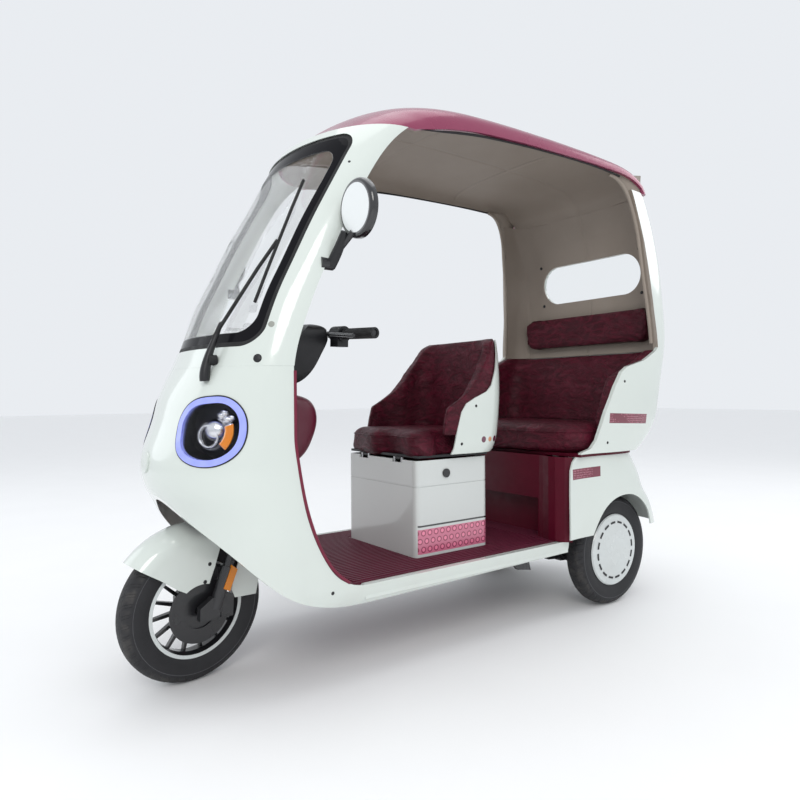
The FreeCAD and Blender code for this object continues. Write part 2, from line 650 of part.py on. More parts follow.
def seat_parts():
    seat = (BOX_FRONT, 0.0)
    front = [(381, 1022), (369, 1004), (341, 913), (313, 853), (289, 832), (235, 811),
             (195, 791), (173, 762), (156, 705), (142, 640), (131, 616)]
    shell = skin(seat_rule, U_STEPS, spread(604, 1026, 8), 0, 5, inside_seat)
    shell = shell.common(box(-300, 300, 15, 515, 620, 1020, BOX_FRONT))
    shell = shell.cut(side_prism(front + [(-85, 616), (-85, 1022)], -300, 300, base=seat))
    pad = skin(seat_rule, U_STEPS, spread(604, 1026, 8), 5.3, 52, inside_seat)
    pad = pad.common(box(-300, 300, 15, 515, 694, 1020, BOX_FRONT))
    padfront = [(381, 1026), (345, 1002), (289, 919), (260, 872), (215, 832), (155, 800),
                (115, 778), (92, 694)]
    pad = pad.cut(side_prism(padfront + [(-85, 694), (-85, 1026)], -300, 300, base=seat))
    side = [(150, -5), (188, 3), (206, 25), (207, 60), (200, 87), (189, 109), (186, 145),
            (186, 285), (174, 325), (140, 343)]
    around = [(0, -6)] + side + [(0, 345)] + [(-x, y) for x, y in side[::-1]]
    cushion = fillet_up(spline_prism(around, 620, 694, BOX_FRONT), 20)
    pan = plan_prism([(-205, 11), (205, 11), (212, 125), (222, 145), (222, 305), (150, 369),
                      (-150, 369), (-222, 305), (-222, 145), (-212, 125)], 612, 620, base=BOX_FRONT)
    knuckles = [rod(at(x, SEAT_HINGE_Y, SEAT_HINGE_Z), at(x + 24, SEAT_HINGE_Y, SEAT_HINGE_Z), 5, 3.1)
                for x in (-112, 88)]
    pan = pan.fuse([k.fuse(box(k.BoundBox.XMin, k.BoundBox.XMax, 3.4, 9, SEAT_HINGE_Z - 1, 612.5, SEAT_HINGE_Y))
                    for k in knuckles]).removeSplitter()
    bx = box(-BOX_HALF, BOX_HALF, 0, BOX_DEPTH, FLOOR_TOP, BOX_TOP, BOX_FRONT)
    bx = bx.makeFillet(22, [e for e in bx.Edges if e.BoundBox.ZLength > 200])
    inner = box(-BOX_HALF + 6, BOX_HALF - 6, 6, BOX_DEPTH - 6, FLOOR_TOP + 6, BOX_TOP + 1, BOX_FRONT)
    inner = inner.makeFillet(16, [e for e in inner.Edges if e.BoundBox.ZLength > 200])
    bx = bx.cut(inner)
    groove = box(-300, 300, -85, 415, 516.5, 519.5, BOX_FRONT).cut(bx_inner_block())
    bx = bx.cut(groove)
    pins = []
    for x in (-126, 74):
        # the front lip is cut down where a hinge sits
        bx = bx.cut(box(x - 4, x + 56, -1, 22, BOX_TOP - 10, BOX_TOP + 1, BOX_FRONT))
        pin = rod(at(x, SEAT_HINGE_Y, SEAT_HINGE_Z), at(x + 52, SEAT_HINGE_Y, SEAT_HINGE_Z), 2.5)
        for e in (x, x + 42):
            pin = pin.fuse(box(e, e + 10, -4, 4, BOX_TOP - 10, SEAT_HINGE_Z + 4, SEAT_HINGE_Y))
        pins.append(pin.removeSplitter())
    where = BOX_FRONT + 127
    lock = rod(at(BOX_HALF - 5, where, 557), at(BOX_HALF + 5, where, 557), 15)
    bx = bx.cut(rod(at(BOX_HALF - 8, where, 557), at(BOX_HALF + 6, where, 557), 15))
    return {
        "driver_seat_shell": shell,
        "driver_seat_back": pad,
        "driver_seat_cushion": cushion,
        "driver_seat_pan": pan,
        "seat_box": bx,
        "seat_hinge_pins": Part.makeCompound(pins),
        "seat_box_lock": lock,
    }


def bx_inner_block():
    b = box(-BOX_HALF + 2, BOX_HALF - 2, 2, BOX_DEPTH - 2, 400, BOX_TOP + 50, BOX_FRONT)
    return b.makeFillet(20, [e for e in b.Edges if e.BoundBox.ZLength > 200])


# Floor, leg shield, column cover
def floor_parts():
    floor = box(-312, 312, 352, FLOOR_END, 277, FLOOR_TOP)
    rib_end = REAR_AXLE - 330
    ribs = []
    for x in spread(-296, 296, 37):
        if abs(x) < 214:
            ribs.append(box(x - 4, x + 4, 380, BOX_FRONT - 8, FLOOR_TOP, FLOOR_TOP + 3))
            ribs.append(box(x - 4, x + 4, BOX_REAR + 8, rib_end, FLOOR_TOP, FLOOR_TOP + 3))
        else:
            ribs.append(box(x - 4, x + 4, 380, rib_end, FLOOR_TOP, FLOOR_TOP + 3))
    floor = floor.fuse(ribs).removeSplitter()
    door = [(176, 866)] + list(DOOR_EDGE)[:-1] + [(352, 291)]
    strip = offset_strip(door, 5.0)
    shield = side_prism(strip, -FLANK + PANEL + 0.5, FLANK - PANEL - 0.5)
    foot = box(-312, 312, 345, 356, 277, 291)
    shield = shield.cut(foot)
    slot = side_prism([(100, 470), (100, 866), (320, 866), (300, 470)], -46, 46)
    shield = shield.cut(slot)
    rows = ((580.0, 272.0, 30.0), (603.0, 334.0, 52.0), (638.0, 382.0, 66.0), (690.0, 411.0, 74.0),
            (740.0, 424.0, 78.0), (780.0, 418.0, 78.0), (810.0, 392.0, 74.0), (826.0, 340.0, 66.0), (832.0, 300.0, 56.0))

    def knee(u, z):
        back, half = smooth(rows, 1, z), smooth(rows, 2, z)
        a = math.radians(u)
        return at(math.copysign(half * abs(math.sin(a)) ** 0.7, a), 150 + (back - 150) * math.cos(a) ** 0.7, z)

    def inside(p):
        return at(0, 150, 720)
    cover = skin(knee, [-90, -84, -72, -58, -42, -25, 0, 25, 42, 58, 72, 84, 90],
                 [580, 590, 610, 638, 680, 730, 780, 810, 824, 831], 0, 5, inside)
    cover = cover.cut(side_prism([(y, z) for y, z in door] + [(100, 300), (100, 880)], -300, 300))
    cover = sorted(cover.Solids, key=lambda q: -q.Volume)[0]
    dash = plan_prism([(331 * math.sin(math.radians(t)), 173 - 194 * math.cos(math.radians(t)))
                       for t in range(-90, 91, 10)], 866.3, 871, 19)
    dash = dash.cut(rod(steer_point(600), steer_point(800), 40))
    return {"floor_mat": floor, "leg_shield": shield, "column_cover": cover, "dash_shelf": dash}


def offset_strip(pairs, t):
    """Outline of a strip of width t in front of a run of (y, z) pairs."""
    out = list(pairs)
    other = []
    for i, (y, z) in enumerate(pairs):
        a = pairs[max(i - 1, 0)]
        b = pairs[min(i + 1, len(pairs) - 1)]
        dy, dz = b[0] - a[0], b[1] - a[1]
        d = math.hypot(dy, dz)
        other.append((y + dz / d * t, z - dy / d * t))
    return out + other[::-1]


# Chassis
def chassis_parts():
    rear = (REAR_AXLE, 0.0)
    rails = []
    for x in (-170, 170):
        low = box(x - 12, x + 12, 352, REAR_AXLE - 221, 237, 277)
        ramp = side_prism([(-221, 237), (-221, 277), (-161, 345), (-136, 345), (-136, 305), (-181, 285)],
                          x - 12, x + 12, base=rear)
        high = box(x - 12, x + 12, -146, 256, 305, 345, REAR_AXLE)
        rails.append(low.fuse([ramp, high]))
    frame = rails[0].fuse(rails[1])
    frame = frame.fuse([box(-300, 300, 350, 380, 247, 277), box(-300, 300, BOX_FRONT + 15, BOX_FRONT + 45, 247, 277),
                        box(-300, 300, BOX_REAR - 28, BOX_REAR + 2, 247, 277)])
    frame = frame.fuse([box(-300, 300, y, y + 30, 247, 277, REAR_AXLE) for y in (-486, -270)])
    frame = frame.fuse([box(-170, 170, y, y + 30, 315, 345, REAR_AXLE) for y in (-160, 84, 226)])
    head = rod(steer_point(268), steer_point(432), 26)
    down = tube_path([steer_point(350), at(0, 198, 430), at(0, 236, 368), at(0, 266, 296), at(0, 364, 252)], 15)
    frame = frame.fuse([head, down])
    frame = frame.cut(rod(steer_point(200), steer_point(500), 16.8)).removeSplitter()
    # arms from the rails to the deck
    legs = []
    for s in (-1, 1):
        for y in (-136, 72):
            legs.append(box(s * 200 - 12, s * 200 + 12, y, y + 24, 330, DECK_Z, REAR_AXLE))
            legs.append(box(min(s * 170, s * 212), max(s * 170, s * 212), y, y + 24, 321, 345, REAR_AXLE))
    frame = frame.fuse(legs).removeSplitter()
    battery = box(-150, 150, -158, 112, 345, 530, REAR_AXLE)
    hub = at(0, REAR_AXLE, REAR_R)
    side = V(1, 0, 0)
    axle = rod(hub - side * 262, hub + side * 262, 24)
    motor = hub + V(0, -60, 10)
    axle = axle.fuse([rod(hub - side * 70, hub + side * 70, 78), rod(motor - side * 70, motor + side * 60, 62)])
    axle = axle.fuse([rod(hub + side * s * 240, hub + side * s * 264, 62) for s in (-1, 1)])
    axle = axle.fuse(rod(hub - side * 300, hub + side * 300, 11.75)).removeSplitter()
    springs, hangers = [], []
    front, back, front_z, back_z, eye_r, half_leaf = -316, 252, 213, 240, 12, 20
    low = REAR_R - 24.2
    for s in (-1, 1):
        x = s * 206
        pack = []
        for drop, a, b in ((0, 0.0, 0.0), (8, 70, 50), (16, 140, 100), (24, 200, 150)):
            line = []
            for y in (front + a, (front + a) * 0.55, 0, (back - b) * 0.55, back - b):
                t = y / front if y < 0 else y / back
                end = front_z if y < 0 else back_z
                line.append((y, low - drop + (end - low) * abs(t) ** 1.7))
            pack.append(side_prism(line + [(y, z - 8.4) for y, z in line[::-1]], x - half_leaf, x + half_leaf, base=rear))
        eyes = [rod(at(x - half_leaf, REAR_AXLE + y, z), at(x + half_leaf, REAR_AXLE + y, z), eye_r)
                for y, z in ((front, front_z), (back, back_z))]
        springs.append(pack[0].fuse(pack[1:] + eyes).removeSplitter())
        x0, x1 = (182, 232) if s > 0 else (-232, -182)
        hangers.append(box(x0, x1, front - 10, front + 10, front_z + eye_r + 0.2, 277, REAR_AXLE))
        hangers.append(box(x0, x1, back - 8, back + 4, back_z + eye_r + 0.2, 345, REAR_AXLE))
        stand = side_prism([(-512, 226), (-486, 250), (-448, 250), (-437, 227), (-428, 195), (-492, 206)],
                           min(s * 286, s * 300), max(s * 286, s * 300), base=rear)
        hangers.append(stand)
    return {
        "chassis_frame": frame.fuse(hangers).removeSplitter(),
        "battery_pack": battery,
        "rear_axle": axle,
        "leaf_springs": Part.makeCompound(springs),
    }


# Steered front end, straight ahead
def steer_parts():
    axle = (FRONT_AXLE, FRONT_R)
    crown = rod(steer_point(236), steer_point(258), 30)
    crown = crown.fuse(box_along(236, 258, -94, 94, -22, 22))
    stem = rod(steer_point(240), steer_point(745), 16.5)
    fork = crown.fuse(stem)
    legs = []
    for s in (-1, 1):
        leg = rod(steer_point(-10, s * 76, 0), steer_point(110, s * 76, 0), 18)
        leg = leg.fuse(rod(steer_point(105, s * 76, 0), steer_point(250, s * 76, 0), 14))
        lug = side_prism([(-18, -18), (-18, 18), (20, 42), (50, 32), (42, -14), (10, -22)], s * 76 - 10, s * 76 + 10,
                         base=axle)
        # stays that carry the guard's side wall
        stay = side_prism([(18, 290), (60, 300), (74, 338), (34, 350)], min(s * 54, s * 57.8), max(s * 54, s * 57.8))
        foot = box(min(s * 54, s * 68), max(s * 54, s * 68), 60, 76, 302, 334)
        legs.append(leg.fuse([lug, stay, foot]))
    fork = fork.fuse(legs)
    fork = fork.fuse(rod(at(-86, *axle), at(86, *axle), 7.0)).removeSplitter()
    bar_y, bar_z = 433.0, 1020.0
    left, right = at(300, bar_y, bar_z), at(-300, bar_y, bar_z)
    neck = tube_path([steer_point(735), at(0, 350, 1000), at(0, bar_y, bar_z)], 15)
    bar = rod(right, left, 11).fuse(neck).removeSplitter().cut(rod(steer_point(700), steer_point(745.3), 16.8))
    grips = [rod(at(s * 168, bar_y, bar_z), at(s * 304, bar_y, bar_z), 17, 11) for s in (-1, 1)]
    pods = []
    for s in (-1, 1):
        pod = rod(at(s * 112, bar_y, bar_z), at(s * 162, bar_y, bar_z), 25, 11)
        block = box(min(s * 118, s * 156), max(s * 118, s * 156), bar_y - 22, bar_y + 20, bar_z - 40, bar_z - 12)
        pods.append(pod.fuse(block.cut(rod(right, left, 11))).removeSplitter())
    levers = []
    for s in (-1, 1):
        lever = tube_path([at(s * 140, bar_y - 24, bar_z), at(s * 170, bar_y - 62, bar_z - 4),
                           at(s * 290, bar_y - 72, bar_z - 12)], 6)
        levers.append(lever.cut(pods[0]).cut(pods[1]))
    cowl_pts = [(286, 872), (330, 862), (372, 905), (398, 965), (412, 1004), (408, 1038), (380, 1050), (330, 1032),
                (292, 975), (276, 912)]
    face = [(0, 856), (52, 864), (80, 905), (96, 960), (104, 1005), (96, 1036), (56, 1051)]
    c = Part.BSplineCurve()
    c.interpolate([at(x, 200, z) for x, z in face + [(0, 1054)] + [(-x, z) for x, z in face[:0:-1]]], PeriodicFlag=True)
    cowl = side_prism(cowl_pts, -120, 120, 10).common(Part.Face(Part.Wire([c.toShape()])).extrude(V(0, 300, 0)))
    cowl = cowl.cut(rod(steer_point(600), steer_point(790), 16.8)).cut(neck).cut(rod(right, left, 11)).cut(
        rod(at(-162, bar_y, bar_z), at(162, bar_y, bar_z), 25.5))
    cowl = sorted(cowl.Solids, key=lambda q: -q.Volume)[0]
    caliper = side_prism([(56, 50), (100, 28), (98, -34), (60, -30)], 41, 62, base=axle)
    caliper = caliper.cut(rod(at(46.5, *axle), at(53.5, *axle), 96)).cut(fork)
    caliper = sorted(caliper.Solids, key=lambda q: -q.Volume)[0]
    reflectors = []
    for s in (-1, 1):
        lens = side_prism([(63, 277), (82, 267), (106, 326), (88, 341)], s * 82 - 15, s * 82 + 15)
        stay = side_prism([(66, 300), (72, 322), (100, 314), (92, 292)], s * 82 - 5, s * 82 + 5)
        lens = lens.cut(fork.common(box(-200, 200, 0, 300, 100, 400)))
        lens = sorted(lens.Solids, key=lambda q: -q.Volume)[0]
        stay = sorted(stay.cut(fork).Solids, key=lambda q: -q.Volume)[0]
        reflectors.append(lens.fuse(stay).removeSplitter())
    return {
        "fork": fork,
        "handlebar": bar,
        "handlebar_grips": Part.makeCompound(grips),
        "switch_pods": Part.makeCompound(pods),
        "brake_levers": Part.makeCompound(levers),
        "instrument_cowl": cowl,
        "front_fender": fender_parts(),
        "brake_caliper": caliper,
        "fork_reflectors": Part.makeCompound(reflectors),
    }


def box_along(s0, s1, x0, x1, a0, a1):
    """Box along the steering axis: s0 to s1 up it, a0 to a1 ahead of it."""
    pts = [steer_point(s, x0, a) for s, a in ((s0, a0), (s1, a0), (s1, a1), (s0, a1))]
    w = Part.makePolygon(pts + [pts[0]])
    return Part.Face(w).extrude(V(x1 - x0, 0, 0))


def fender_rule(u, v):
    """Front guard: u across in degrees, past 90 down the side wall; v round the wheel, forward of the top."""
    a, b = math.radians(max(-90.0, min(90.0, u))), math.radians(v)
    half, crown, drop = 62.0, 36.0, 44.0
    r = FRONT_R + crown - drop * (1 - math.cos(a)) - max(0.0, abs(u) - 90.0) * 1.4
    return at(half * math.sin(a), FRONT_AXLE - r * math.sin(b), FRONT_R + r * math.cos(b))


def fender_parts():
    """Two guards on one fork: the outlines are what shows from the side."""
    axle = (FRONT_AXLE, FRONT_R)

    def hub(p):
        return at(0, *axle)
    us = [-180, -150, -120, -100] + spread(-90, 90, 10) + [100, 120, 150, 180]
    front = skin(fender_rule, us, spread(-26, 66, 10), 0, 4, hub)
    rear = skin(fender_rule, us, spread(-92, -28, 8), 0, 4, hub)
    outlines = (
        (front, [(-260, 210), (-215, 184), (-204, 167), (-126, 117), (-73, 78), (-24, 50), (-8, 45), (6, 48), (15, 60),
                 (38, 122), (54, 176), (80, 262), (60, 300), (-260, 300)]),
        (rear, [(104, 18), (92, 44), (100, 80), (122, 150), (110, 300), (240, 300), (192, 172), (182, 56), (174, 14)]),
    )
    room = [rod(steer_point(a, s * 76), steer_point(b, s * 76), r) for s in (-1, 1)
            for a, b, r in ((-60, 110, 18.25), (105, 300, 14.25))]
    guards = []
    for shape, pairs in outlines:
        shape = shape.common(side_prism(pairs, -200, 200, base=axle))
        for r in room:
            shape = shape.cut(r)
        shape = shape.cut(box_along(200, 300, -96, 96, -24, 24))
        guards.append(sorted(shape.Solids, key=lambda q: -q.Volume)[0])
    return Part.makeCompound(guards)


# Wheels, each about the X axis at the origin
def tyre(radius, half, rim, bore_half):
    pts = [(rim - 6, -bore_half), (rim + 8, -half + 3), ((radius + rim) / 2, -half), (radius - 16, -half + 3),
           (radius - 4, -half * 0.6), (radius, 0)]
    pts = pts + [(r, -x) for r, x in reversed(pts[:-1])]
    c = Part.BSplineCurve()
    c.interpolate([V(x, 0, r) for r, x in pts])
    line = Part.makeLine(V(bore_half, 0, rim - 6), V(-bore_half, 0, rim - 6))
    return turned(Part.Wire([c.toShape(), line]), V(0, 0, 0), V(1, 0, 0))


def ring_profile(points):
    pts = [V(x, 0, r) for x, r in points]
    return Part.makePolygon(pts + [pts[0]])


def front_wheel_parts():
    t = tyre(FRONT_R, FRONT_HALF, FRONT_RIM, 31)
    rim = turned(ring_profile([(-31, FRONT_RIM - 6), (31, FRONT_RIM - 6), (31, FRONT_RIM - 12), (12, FRONT_RIM - 20),
                               (-12, FRONT_RIM - 20), (-31, FRONT_RIM - 12)]), V(0, 0, 0), V(1, 0, 0))
    hub = turned(ring_profile([(-36, 12), (36, 12), (36, 26), (14, 38), (-14, 38), (-36, 26)]), V(0, 0, 0), V(1, 0, 0))
    spoke = Part.makeLoft([
        Part.makePolygon([V(-8, -6, 34), V(8, -6, 34), V(8, 6, 34), V(-8, 6, 34), V(-8, -6, 34)]),
        Part.makePolygon([V(x, y, FRONT_RIM - 16) for x, y in ((-6, -4), (6, -4), (6, 4), (-6, 4), (-6, -4))]),
    ], True, True)
    spokes = []
    for k in range(15):
        s = spoke.copy()
        s.rotate(V(0, 0, 0), V(1, 0, 0), k * 24.0)
        spokes.append(s)
    wheel = rim.fuse([hub] + spokes).removeSplitter()
    wheel = wheel.cut(rod(V(-60, 0, 0), V(60, 0, 0), 12))
    disc = turned(ring_profile([(48, 50), (52, 50), (52, 92), (48, 92)]), V(0, 0, 0), V(1, 0, 0))
    carrier = turned(ring_profile([(36, 14), (48, 14), (48, 58), (44, 58), (36, 26)]), V(0, 0, 0), V(1, 0, 0))
    disc = disc.fuse(carrier).removeSplitter()
    out = {"front_tyre": t, "front_rim": wheel, "front_brake_disc": disc}
    for k in out:
        out[k].translate(at(0, FRONT_AXLE, FRONT_R))
    return out


def rear_wheel_parts(side):
    t = tyre(REAR_R, REAR_HALF, REAR_RIM, 30)
    rim = turned(ring_profile([(-30, REAR_RIM - 6), (30, REAR_RIM - 6), (30, REAR_RIM - 12), (4, REAR_RIM - 26),
                               (4, 24), (-6, 24), (-6, REAR_RIM - 26), (-30, REAR_RIM - 12)]), V(0, 0, 0), V(1, 0, 0))
    hub = turned(ring_profile([(-26, 12), (10, 12), (10, 30), (-26, 30)]), V(0, 0, 0), V(1, 0, 0))
    rim = rim.fuse(hub).removeSplitter()
    cover = turned(ring_profile([(31, REAR_RIM - 9), (33, REAR_RIM - 4), (38, REAR_RIM - 8), (41, REAR_RIM - 40),
                                 (44, 60), (45, 0.01), (40, 0.01), (38, 60), (35, REAR_RIM - 40)]),
                   V(0, 0, 0), V(1, 0, 0))
    cover = cover.fuse(turned(ring_profile([(10, 16), (40.5, 16), (40.5, 22), (10, 22)]), V(0, 0, 0), V(1, 0, 0)))
    cover = cover.removeSplitter()
    out = {"tyre": t, "rim": rim, "cover": cover}
    for k in out:
        s = out[k]
        if side < 0:
            s = mirror_x(s)
        s.translate(at(side * REAR_TRACK_HALF, REAR_AXLE, REAR_R))
        out[k] = s
    name = "left" if side > 0 else "right"
    return {"rear_%s_%s" % (name, k): s for k, s in out.items()}


# Mirrors and wiper
MIRROR = (420.0, 334.0, 1320.0)


def mirror_parts(screen):
    c = at(*MIRROR)
    n = V(-0.02, 1.0, 0.05)
    n.normalize()
    head = rod(c - n * 16, c + n * 4, 79.5)
    head = head.makeFillet(12, [e for e in head.Edges if (e.CenterOfMass - (c - n * 16)).Length < 1])
    glass = rod(c + n * 1.5, c + n * 4, 70)
    head = head.cut(rod(c + n * 1.5, c + n * 6, 70))
    foot = at(332, 296, 1182)
    arm = tube_path([foot, at(352, 306, 1215), c - n * 10 + V(-20, 0, -60)], 9).cut(head)
    arm = sorted(arm.Solids, key=lambda q: -q.Volume)[0]
    pad = rod(at(330, 262, 1182), at(330, 302, 1182), 17)
    arm = arm.fuse(pad).removeSplitter().cut(screen)
    arm = sorted(arm.Solids, key=lambda q: -q.Volume)[0]
    return {
        "mirror_heads": both(head),
        "mirror_glasses": both(glass),
        "mirror_arms": both(arm),
    }


def wiper_parts(screen):
    def on_glass(x, z, lift):
        tip, side, half = (smooth(FRONT, k, z) for k in (1, 2, 3))
        y = side - (side - tip) * math.sqrt(1 - (x / half) ** 2)
        return at(x, y - lift, z)
    arm = tube_path([on_glass(188, 918, 22), on_glass(186, 980, 30), on_glass(226, 1170, 16), on_glass(238, 1250, 9)], 5)
    arm = arm.fuse(rod(on_glass(188, 918, 1.0), on_glass(188, 918, 26), 14))
    blade = tube_path([on_glass(254, 1072, 6), on_glass(248, 1160, 6), on_glass(240, 1250, 6), on_glass(228, 1350, 6),
                       on_glass(212, 1440, 6)], 4.5)
    wiper = arm.fuse(blade).removeSplitter().cut(screen)
    return {"wiper": sorted(wiper.Solids, key=lambda q: -q.Volume)[0]}


def main():
    os.makedirs("parts", exist_ok=True)
    nodes = {}
    nodes.update(front_parts())
    nodes.update(lamp_parts())
    nodes.update(roof_parts())
    nodes.update(rear_parts())
    nodes.update(tail_parts())
    nodes.update(seat_parts())
    nodes.update(floor_parts())
    nodes.update(chassis_parts())
    nodes.update(mirror_parts(nodes["windscreen_frame"]))
    nodes.update(wiper_parts(nodes["windscreen_frame"]))
    for name, shape in list(steer_parts().items()) + list(front_wheel_parts().items()):
        nodes[name] = turned_bars(shape)
    for side in (1, -1):
        nodes.update(rear_wheel_parts(side))
    whole = None
    for name in sorted(nodes):
        shape = nodes[name]
        b = shape.BoundBox
        print("%-24s solids %d valid %s vol %.0f x %.0f..%.0f y %.0f..%.0f z %.0f..%.0f" % (
            name, len(shape.Solids), shape.isValid(), shape.Volume / 1000.0, b.XMin, b.XMax, b.YMin, b.YMax, b.ZMin,
            b.ZMax))
        if not shape.Solids:
            print("EMPTY", name)
            continue
        whole = FreeCAD.BoundBox(b) if whole is None else whole.united(b)
        shape.exportStep("parts/%s.step" % name)
    print("whole x %.1f..%.1f y %.1f..%.1f z %.1f..%.1f" % (
        whole.XMin, whole.XMax, whole.YMin, whole.YMax, whole.ZMin, whole.ZMax))


if __name__ == "__main__":
    main()
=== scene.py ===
import math
import bpy
from mathutils import Matrix, Vector
from mathutils.bvhtree import BVHTree


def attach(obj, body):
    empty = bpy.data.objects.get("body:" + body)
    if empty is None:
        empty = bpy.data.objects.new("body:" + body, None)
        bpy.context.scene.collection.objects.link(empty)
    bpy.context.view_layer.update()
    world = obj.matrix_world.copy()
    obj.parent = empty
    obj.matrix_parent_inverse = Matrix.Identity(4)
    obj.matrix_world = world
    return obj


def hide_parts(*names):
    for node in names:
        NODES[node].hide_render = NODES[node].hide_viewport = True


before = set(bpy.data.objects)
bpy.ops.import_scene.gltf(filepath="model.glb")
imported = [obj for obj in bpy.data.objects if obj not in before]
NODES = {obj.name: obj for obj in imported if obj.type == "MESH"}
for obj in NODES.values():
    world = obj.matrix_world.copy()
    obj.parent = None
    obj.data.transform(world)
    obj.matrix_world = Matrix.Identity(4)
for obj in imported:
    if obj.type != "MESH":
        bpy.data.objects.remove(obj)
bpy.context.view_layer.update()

# the vehicle's middle, in metres behind the front mark
MIDDLE = 0.849


def back_y(v):
    """Metres along the vehicle, from millimetres behind the front mark."""
    return v / 1000 - MIDDLE


def place(x, y, z):
    """Point from millimetres, with y behind the front mark."""
    return Vector((x / 1000, back_y(y), z / 1000))


# Camera, with its angles in degrees
EYE = Vector((1.8685, -0.6116 - MIDDLE, 0.8231))
HEADING, DIP, ROLL = 53.42, 0.49, -0.37
LENS, SENSOR = 29.06, 36


def camera():
    az, down, roll = math.radians(HEADING), math.radians(DIP), math.radians(ROLL)
    ahead = Vector((-math.sin(az) * math.cos(down), math.cos(az) * math.cos(down), -math.sin(down)))
    right = Vector((math.cos(az), math.sin(az), 0))
    up = right.cross(ahead)
    r2 = right * math.cos(roll) + up * math.sin(roll)
    u2 = up * math.cos(roll) - right * math.sin(roll)
    data = bpy.data.cameras.new("camera")
    data.lens, data.sensor_width = LENS, SENSOR
    data.clip_start, data.clip_end = 0.05, 60
    ob = bpy.data.objects.new("camera", data)
    ob.matrix_world = Matrix.Translation(EYE) @ Matrix((r2, u2, -ahead)).transposed().to_4x4()
    bpy.context.scene.collection.objects.link(ob)
    bpy.context.scene.camera = ob


def light(name, where, target, size, power, tint=(1, 1, 1)):
    data = bpy.data.lights.new(name, "AREA")
    data.shape, data.size, data.energy, data.color = "DISK", size, power, tint
    ob = bpy.data.objects.new(name, data)
    ob.location = where
    ob.rotation_euler = (Vector(target) - Vector(where)).to_track_quat("-Z", "Y").to_euler()
    bpy.context.scene.collection.objects.link(ob)


# Finish graphs
class Graph:
    """Material whose colour, gloss and relief are worked out from the place on the object."""

    def __init__(self, name):
        self.mat = bpy.data.materials.new(name)
        self.mat.use_nodes = True
        self.tree = self.mat.node_tree
        self.shader = self.tree.nodes["Principled BSDF"]
        co = self.tree.nodes.new("ShaderNodeTexCoord")
        self.where = co.outputs["Object"]
        sep = self.tree.nodes.new("ShaderNodeSeparateXYZ")
        self.link(self.where, sep.inputs[0])
        self.x, self.y, self.z = sep.outputs

    def link(self, a, b):
        self.tree.links.new(a, b)

    def feed(self, socket, value):
        if isinstance(value, bpy.types.NodeSocket):
            self.link(value, socket)
        elif hasattr(value, "__len__") and len(value) == 3 and socket.type == "RGBA":
            socket.default_value = (*value, 1)
        else:
            socket.default_value = value

    def math(self, op, a, b=0.0, clamp=False):
        n = self.tree.nodes.new("ShaderNodeMath")
        n.operation, n.use_clamp = op, clamp
        self.feed(n.inputs[0], a)
        self.feed(n.inputs[1], b)
        return n.outputs[0]

    def times(self, a, b):
        return self.math("MULTIPLY", a, b)

    def plus(self, a, b):
        return self.math("ADD", a, b)

    def minus(self, a, b):
        return self.math("SUBTRACT", a, b)

    def size_of(self, a):
        return self.math("ABSOLUTE", a)

    def reach(self, a, b):
        """Length of the flat vector (a, b)."""
        return self.math("SQRT", self.plus(self.times(a, a), self.times(b, b)))

    def ramp(self, v, lo, hi, a=0.0, b=1.0):
        n = self.tree.nodes.new("ShaderNodeMapRange")
        n.interpolation_type = "SMOOTHSTEP"
        for i, q in enumerate((v, lo, hi, a, b)):
            self.feed(n.inputs[i], q)
        return n.outputs[0]

    def band(self, v, lo, hi, soft=0.0006):
        return self.times(self.ramp(v, lo - soft, lo + soft), self.ramp(v, hi - soft, hi + soft, 1.0, 0.0))

    def mix(self, k, a, b):
        n = self.tree.nodes.new("ShaderNodeMix")
        n.data_type = "RGBA"
        self.feed(n.inputs[0], k)
        self.feed(n.inputs[6], a)
        self.feed(n.inputs[7], b)
        return n.outputs[2]

    def noise(self, scale, detail=3.0, rough=0.5, vector=None, warp=0.0):
        n = self.tree.nodes.new("ShaderNodeTexNoise")
        self.link(vector or self.where, n.inputs["Vector"])
        n.inputs["Scale"].default_value = scale
        n.inputs["Detail"].default_value = detail
        n.inputs["Roughness"].default_value = rough
        n.inputs["Distortion"].default_value = warp
        return n.outputs[0]

    def cells(self, scale, jitter=1.0):
        n = self.tree.nodes.new("ShaderNodeTexVoronoi")
        self.link(self.where, n.inputs["Vector"])
        n.inputs["Scale"].default_value = scale
        n.inputs["Randomness"].default_value = jitter
        return n.outputs["Distance"]

    def stretched(self, sx, sy, sz):
        n = self.tree.nodes.new("ShaderNodeMapping")
        self.link(self.where, n.inputs[0])
        n.inputs["Scale"].default_value = (sx, sy, sz)
        return n.outputs[0]

    def bump(self, height, depth, strength=1.0, below=None):
        n = self.tree.nodes.new("ShaderNodeBump")
        n.inputs["Strength"].default_value = strength
        n.inputs["Distance"].default_value = depth
        self.feed(n.inputs["Height"], height)
        if below:
            self.link(below, n.inputs["Normal"])
        return n.outputs[0]

    def put(self, **kw):
        for k, v in kw.items():
            self.feed(self.shader.inputs[k.replace("_", " ")], v)
        return self.mat


def shade(c, k):
    return tuple(min(1.0, q * k) for q in c)


